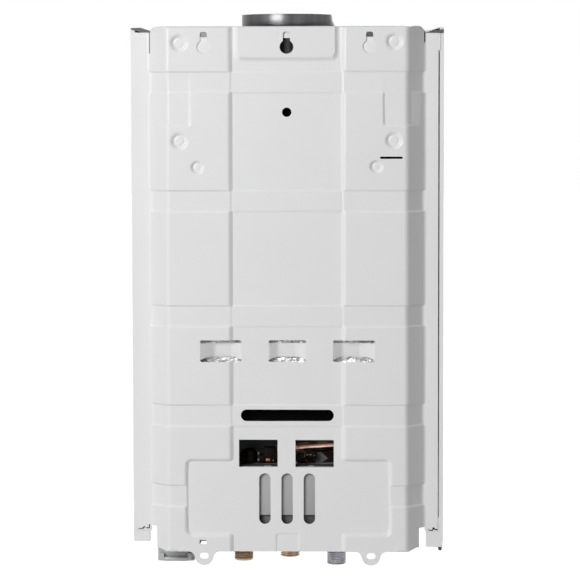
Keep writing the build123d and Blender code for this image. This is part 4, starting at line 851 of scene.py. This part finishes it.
def build_shelf():
    """The connection shelf, with its three port holes and the square one for looking through."""
    bm = bmesh.new()
    box(bm, (-99, 5.4, -541), (112, 88, -540))
    blank = bpy.data.meshes.new("shelf_blank")
    bm.to_mesh(blank)
    bm.free()
    holes = bmesh.new()
    for x in (-50.0, 1.0, 52.0):
        made = bmesh.ops.create_cone(holes, cap_ends=True, segments=48, radius1=10.7, radius2=10.7, depth=8)["verts"]
        bmesh.ops.translate(holes, vec=(x, 60, -540.5), verts=made)
    box(holes, (-97, 26, -545), (-83, 56, -535))
    made = carve(blank, holes)
    bm = bmesh.new()
    bm.from_mesh(made)
    box(bm, (-99, 87, -540.5), (-13, 88, -532))
    box(bm, (98, 87, -540.5), (112, 88, -532))
    piece("port_shelf", bm, "galvanised", stands_for=("connection_shelf",))


def build_valves():
    """The hot pipe, blocks and plugs behind the two windows."""
    bm = bmesh.new()
    path = [(113, 125, -86), (128, 125, -86), (128, 125, -330), (128, 62, -429.3), (2, 62, -438.3), (2, 62, -463),
            (-50, 62, -501), (-50, 62, -526)]
    hose(bm, bent(path, 9.0, 8), 6.1, 32)
    piece("hot_water_pipe", bm, "pipe", stands_for=("hot_pipe",), angle=40.0)

    bm = bmesh.new()
    lathe(bm, (-43, 44, -451), (0, 0, 1), [(0.01, 0), (8.5, 0), (8.5, 10), (7.0, 13.5), (4.2, 15.2), (0.01, 15.2)], 32)
    box(bm, (-56, 38, -451), (-36, 50, -443), 2.0, 3)
    box(bm, (9.2, 34.6, -451), (18.4, 40, -445.4), 1.2)
    box(bm, (-26.6, 37, -451), (-14.4, 50, -434.4), 0.5)
    box(bm, (-15, 38, -451), (-10.8, 50, -439.4), 0.5)
    box(bm, (-34, 36.5, -451), (-26, 44, -443.0), 0.5)
    box(bm, (18.2, 35.2, -446.8), (30.4, 47, -440.0), 0.8)
    box(bm, (22.0, 38, -451), (27.0, 46, -446), 0.4)
    prism(bm, [(35.6, -440.2), (56, -440.2), (56, -451.8), (36.1, -451.8), (43.3, -447.3)], "y", 45.4, 46.4)
    piece("solenoid_and_relay", bm, "brown")

    # Dark grey sheets behind the windows: painted shade standing for the cover's white inside in shadow, and a grey
    # plate in front of the valve body
    bm = bmesh.new()
    box(bm, (-60, 70.6, -451.5), (60, 71.6, -412), 0.3)
    box(bm, (17, 46.6, -451.5), (46, 47.6, -440.6), 0.3)
    piece("painted_shade_backdrop", bm, "shade")

    bm = bmesh.new()
    box(bm, (-24.6, 35.6, -449.2), (-19.8, 37.6, -446.4), 0.8)
    box(bm, (19.2, 33.8, -442.6), (21.9, 35.6, -441.0), 0.4)
    piece("amber_plugs", bm, "amber")

    bm = bmesh.new()
    for x, z in ((-32.6, -440.6), (-32.6, -447.6)):
        box(bm, (x - 0.9, 35.2, z - 1.6), (x + 0.9, 37.0, z + 1.6), 0.6)
    box(bm, (-17.2, 35.8, -448.9), (-16.0, 37.2, -447.8), 0.3)
    box(bm, (22.8, 33.8, -442.4), (25.4, 35.6, -441.1), 0.4)
    box(bm, (17.4, 34.4, -443.9), (18.6, 36.0, -442.6), 0.3)
    box(bm, (27.6, 34.0, -443.2), (28.7, 35.6, -442.0), 0.3)
    piece("nylon_plugs", bm, "nylon")


# ---- connections -----------------------------------------------------------------------------------
def thread(bm, x, y, bottom, top, s):
    """A helical thread skin from bottom to top, closed by its thickness."""
    work = bmesh.new()
    p = s.pitch
    profile = ((s.root, 0.0), (s.root, p * 0.12), (s.crest, p * 0.44), (s.crest, p * 0.58), (s.root, p * 0.9), (s.root, p))
    turns = math.ceil((top - bottom) / p) + 2
    verts = [work.verts.new((r, 0.0, bottom - p + h)) for r, h in profile]
    edges = [work.edges.new(pair) for pair in zip(verts, verts[1:])]
    bmesh.ops.spin(
        work, geom=verts + edges, cent=(0, 0, 0), axis=(0, 0, 1), dvec=(0, 0, p / s.steps),
        angle=math.tau * turns, steps=s.steps * turns
    )
    bmesh.ops.remove_doubles(work, verts=work.verts, dist=0.001)
    for height, normal in ((bottom, (0, 0, -1)), (top, (0, 0, 1))):
        geom = work.verts[:] + work.edges[:] + work.faces[:]
        bmesh.ops.bisect_plane(work, geom=geom, plane_co=(0, 0, height), plane_no=normal, clear_outer=True)
    bmesh.ops.recalc_face_normals(work, faces=work.faces)
    bmesh.ops.solidify(work, geom=work.faces[:], thickness=0.5)
    bmesh.ops.translate(work, vec=(x, y, 0), verts=work.verts)
    held = bpy.data.meshes.new("thread")
    work.to_mesh(held)
    work.free()
    bm.from_mesh(held)
    bpy.data.meshes.remove(held)


def hexagon(bm, x, y, low, high, across, bevel=0.5):
    made = bmesh.ops.create_cone(
        bm, cap_ends=True, segments=6, radius1=across / math.sqrt(3), radius2=across / math.sqrt(3), depth=high - low
    )["verts"]
    bmesh.ops.rotate(bm, cent=(0, 0, 0), matrix=Matrix.Rotation(math.radians(30), 3, "Z"), verts=made)
    bmesh.ops.translate(bm, vec=(x, y, (low + high) / 2), verts=made)
    edges = list({e for v in made for e in v.link_edges})
    bmesh.ops.bevel(bm, geom=edges, offset=bevel, segments=2, profile=0.5, affect="EDGES", material=-1)


def build_fitting(name, node, finish, x, end, collar, neck_top, s, lip):
    """A threaded connection: lip, threaded collar, relief, hexagon and neck."""
    bm = bmesh.new()
    y = 60.0
    thread(bm, x, y, end + lip, collar - 0.3, s)
    core = s.root - 0.2
    profile = [(7.0, end), (s.crest - 1.3, end), (s.crest - 0.35, end + 0.9), (s.crest - 0.1, end + lip - 0.5), (core, end + lip),
               (core, collar), (7.6, collar), (7.6, -545.2), (9.9, -544.9), (9.9, -534.2), (8.0, -533.9), (8.0, neck_top), (5.6, neck_top), (5.6, -540), (7.0, -541)]
    lathe(bm, (x, y, 0), (0, 0, 1), profile, 48)
    hexagon(bm, x, y, -540.0, -534.0, 27.0)
    return piece(name, bm, finish, stands_for=(node,), angle=30.0)


# ---- dressing of the carried-over parts ------------------------------------------------------------
DRESS = {
    "enamel": ("front_cover", "hangers"),
    "steel": ("window_frame", "burner_bars", "valve_stem", "stem_spring", "spindle_glands", "switch_lever",
              "electrode_rods", "door_contact", "battery_contacts"),
    "galvanised": ("flue_hood", "burner_tray", "gas_manifold", "switch_bracket",
                   "electrode_bracket", "battery_bracket", "chamber_brackets"),
    "flue": ("flue_collar",),
    "copper": ("combustion_chamber", "exchanger_fins", "exchanger_tubes", "cold_pipe"),
    "blued": ("gas_riser",),
    "brass": ("gas_nozzles", "locknuts", "spring_cap", "gas_spindle", "season_spindle", "water_spindle",
              "water_valve_body", "diaphragm_cover", "igniter_posts"),
    "casting": ("gas_valve_body",),
    "foil": ("heat_shield",),
    "black": ("gas_knob", "season_knob", "water_knob", "overheat_cutoff", "micro_switch", "drain_plug"),
    "gloss": ("control_strip",),
    "grey": ("igniter_box",),
    "battery": ("battery_box", "battery_door"),
    "rubber": ("stem_seal", "diaphragm"),
    "glass": ("window_pane",),
    "lens": ("display_lens",),
    "ceramic": ("electrodes",),
    "jacket": ("battery_cells",),
    "sleeve": ("ignition_lead", "battery_lead"),
}
BEVELS = {"front_cover": 0.9, "control_strip": 0.6, "window_frame": 0.5, "battery_box": 0.6, "battery_door": 0.5,
          "igniter_box": 0.8, "gas_valve_body": 0.8, "water_valve_body": 0.8, "locknuts": 0.4,
          "burner_tray": 0.3, "gas_manifold": 0.6, "micro_switch": 0.3, "flue_collar": 0.3}


def dress_node(node, finish):
    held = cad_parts[node]
    held.data.materials.clear()
    held.data.materials.append(FINISHES[finish])
    if node in BEVELS:
        weld = held.modifiers.new("weld", "WELD")
        weld.merge_threshold = 0.000002
        bevel = held.modifiers.new("soften", "BEVEL")
        bevel.width = BEVELS[node] * MM
        bevel.segments = 2
        bevel.limit_method = "ANGLE"
        bevel.angle_limit = math.radians(35)
        bevel.harden_normals = False


# ---- stage -----------------------------------------------------------------------------------------
def make_floor_finish():
    """Pale floor: plain to the light, white to the eye, with the object's shadow kept."""
    f = Finish("pale_floor")
    seen = f.node("ShaderNodeLightPath", output="Is Camera Ray")
    for name in ("Is Glossy Ray", "Is Transmission Ray"):
        more = f.node("ShaderNodeLightPath", output=name)
        seen = seen.math("MAXIMUM", seen, more)
    speck = f.grain(0.02, 3.0)
    return f.done(
        Base_Color=f.mix(speck, (0.62, 0.62, 0.62), (0.66, 0.66, 0.66)), Roughness=0.8,
        Emission_Color=(1.0, 1.0, 1.0), Emission_Strength=seen * 0.93
    )


def light_up(name, place, aim, size, power):
    lamp = bpy.data.lights.new(name, "AREA")
    lamp.shape = "RECTANGLE"
    lamp.size, lamp.size_y = size
    lamp.energy = power
    held = bpy.data.objects.new(name, lamp)
    bpy.context.scene.collection.objects.link(held)
    held.location = place
    held.rotation_euler = (Vector(aim) - Vector(place)).to_track_quat("-Z", "Y").to_euler()
    return held


def build_stage(s):
    scene = bpy.context.scene
    scene.view_settings.view_transform = "Standard"
    centre = Vector((0.0009, 0.077, -0.2651))
    off = Vector((math.sin(s.turn) * math.cos(s.rise), -math.cos(s.turn) * math.cos(s.rise), math.sin(s.rise)))
    camera = bpy.data.objects.new("camera", bpy.data.cameras.new("camera"))
    camera.data.lens = s.lens
    camera.data.sensor_width = 36.0
    camera.location = centre + off * s.distance
    camera.rotation_euler = ((-off).to_track_quat("-Z", "Y") @ Quaternion((0, 0, 1), s.roll)).to_euler()
    scene.collection.objects.link(camera)
    scene.camera = camera

    light_up("key_lamp", (-1.15, -2.15, 0.55), (0, 0, -0.25), (1.1, 1.1), s.key)
    light_up("top_lamp", (-0.1, -0.9, 2.3), (0, 0, -0.2), (1.2, 1.2), s.top)
    light_up("front_lamp", (0.9, 2.1, 0.7), (0, 0.1, -0.25), (1.4, 1.4), s.front)

    bm = bmesh.new()
    bmesh.ops.create_grid(bm, x_segments=4, y_segments=4, size=30.0)
    bmesh.ops.translate(bm, vec=(0, 0, -1.3), verts=bm.verts)
    mesh = bpy.data.meshes.new("floor")
    bm.to_mesh(mesh)
    bm.free()
    floor = bpy.data.objects.new("floor", mesh)
    scene.collection.objects.link(floor)
    mesh.materials.append(make_floor_finish())

    world = bpy.data.worlds.new("studio")
    scene.world = world
    world.use_nodes = True
    nodes, links = world.node_tree.nodes, world.node_tree.links
    sky = nodes["Background"]
    path = nodes.new("ShaderNodeLightPath")
    seen = nodes.new("ShaderNodeMath")
    seen.operation = "MAXIMUM"
    links.new(path.outputs["Is Camera Ray"], seen.inputs[0])
    more = nodes.new("ShaderNodeMath")
    more.operation = "MAXIMUM"
    links.new(path.outputs["Is Glossy Ray"], more.inputs[0])
    links.new(path.outputs["Is Transmission Ray"], more.inputs[1])
    links.new(more.outputs[0], seen.inputs[1])
    level = nodes.new("ShaderNodeMapRange")
    level.inputs["To Min"].default_value = s.ambient
    level.inputs["To Max"].default_value = 1.0
    links.new(seen.outputs[0], level.inputs["Value"])
    links.new(level.outputs[0], sky.inputs["Strength"])
    sky.inputs["Color"].default_value = (1.0, 1.0, 1.0, 1.0)


# ---- operators -------------------------------------------------------------------------------------
class HEATER_OT_finishes(bpy.types.Operator):
    """Make every material and put it on the parts that are carried over"""

    bl_idname = "heater.finishes"
    bl_label = "Finishes"

    def execute(self, context):
        make_finishes(tuple(context.scene.heater_panel.paint))
        for finish, nodes in DRESS.items():
            for node in nodes:
                dress_node(node, finish)
        return {"FINISHED"}


class HEATER_OT_panel(bpy.types.Operator):
    """Press the back panel with its stampings, slots and ears"""

    bl_idname = "heater.panel"
    bl_label = "Back panel"

    def execute(self, context):
        build_panel(context.scene.heater_panel)
        return {"FINISHED"}


class HEATER_OT_inside(bpy.types.Operator):
    """Set the painted-shade sheets, foil, pipe and blocks behind the holes of the back panel"""

    bl_idname = "heater.inside"
    bl_label = "Behind the openings"

    def execute(self, context):
        build_backing()
        build_shelf()
        build_clip()
        build_valves()
        return {"FINISHED"}


class HEATER_OT_fittings(bpy.types.Operator):
    """Turn the three threaded connections"""

    bl_idname = "heater.fittings"
    bl_label = "Connections"

    def execute(self, context):
        s = context.scene.heater_fittings
        build_fitting("hot_outlet", "hot_outlet_fitting", "tarnish", -50.0, -561.6, -552.5, -526.0, s, 3.0)
        build_fitting("gas_inlet", "gas_inlet_fitting", "brass", 1.0, -557.4, -550.0, -530.0, s, 1.6)
        build_fitting("cold_inlet", "cold_inlet_fitting", "zinc", 52.0, -566.0, -552.5, -523.0, s, 1.6)
        return {"FINISHED"}


class HEATER_OT_stage(bpy.types.Operator):
    """Set the camera, the lamps, the floor and the white surroundings"""

    bl_idname = "heater.stage"
    bl_label = "Stage"

    def execute(self, context):
        build_stage(context.scene.heater_stage)
        return {"FINISHED"}


OPERATORS = (HEATER_OT_stage, HEATER_OT_finishes, HEATER_OT_panel, HEATER_OT_inside, HEATER_OT_fittings)


class HEATER_PT_panel(bpy.types.Panel):
    """Lists the heater's pieces and their settings"""

    bl_label = "Water heater"
    bl_idname = "HEATER_PT_panel"
    bl_space_type = "VIEW_3D"
    bl_region_type = "UI"
    bl_category = "Heater"

    def draw(self, context):
        for group, kind in SETTINGS.items():
            settings = getattr(context.scene, group)
            for name in kind.__annotations__:
                self.layout.prop(settings, name)
        for operator in OPERATORS:
            self.layout.operator(operator.bl_idname)


def register():
    for kind in (*SETTINGS.values(), *OPERATORS, HEATER_PT_panel):
        bpy.utils.register_class(kind)
    for name, kind in SETTINGS.items():
        setattr(bpy.types.Scene, name, PointerProperty(type=kind))


def unregister():
    for name in SETTINGS:
        delattr(bpy.types.Scene, name)
    for kind in reversed((*SETTINGS.values(), *OPERATORS, HEATER_PT_panel)):
        bpy.utils.unregister_class(kind)


def main():
    register()
    for operator in OPERATORS:
        group, name = operator.bl_idname.split(".")
        getattr(getattr(bpy.ops, group), name)()


if __name__ == "__main__":
    main()
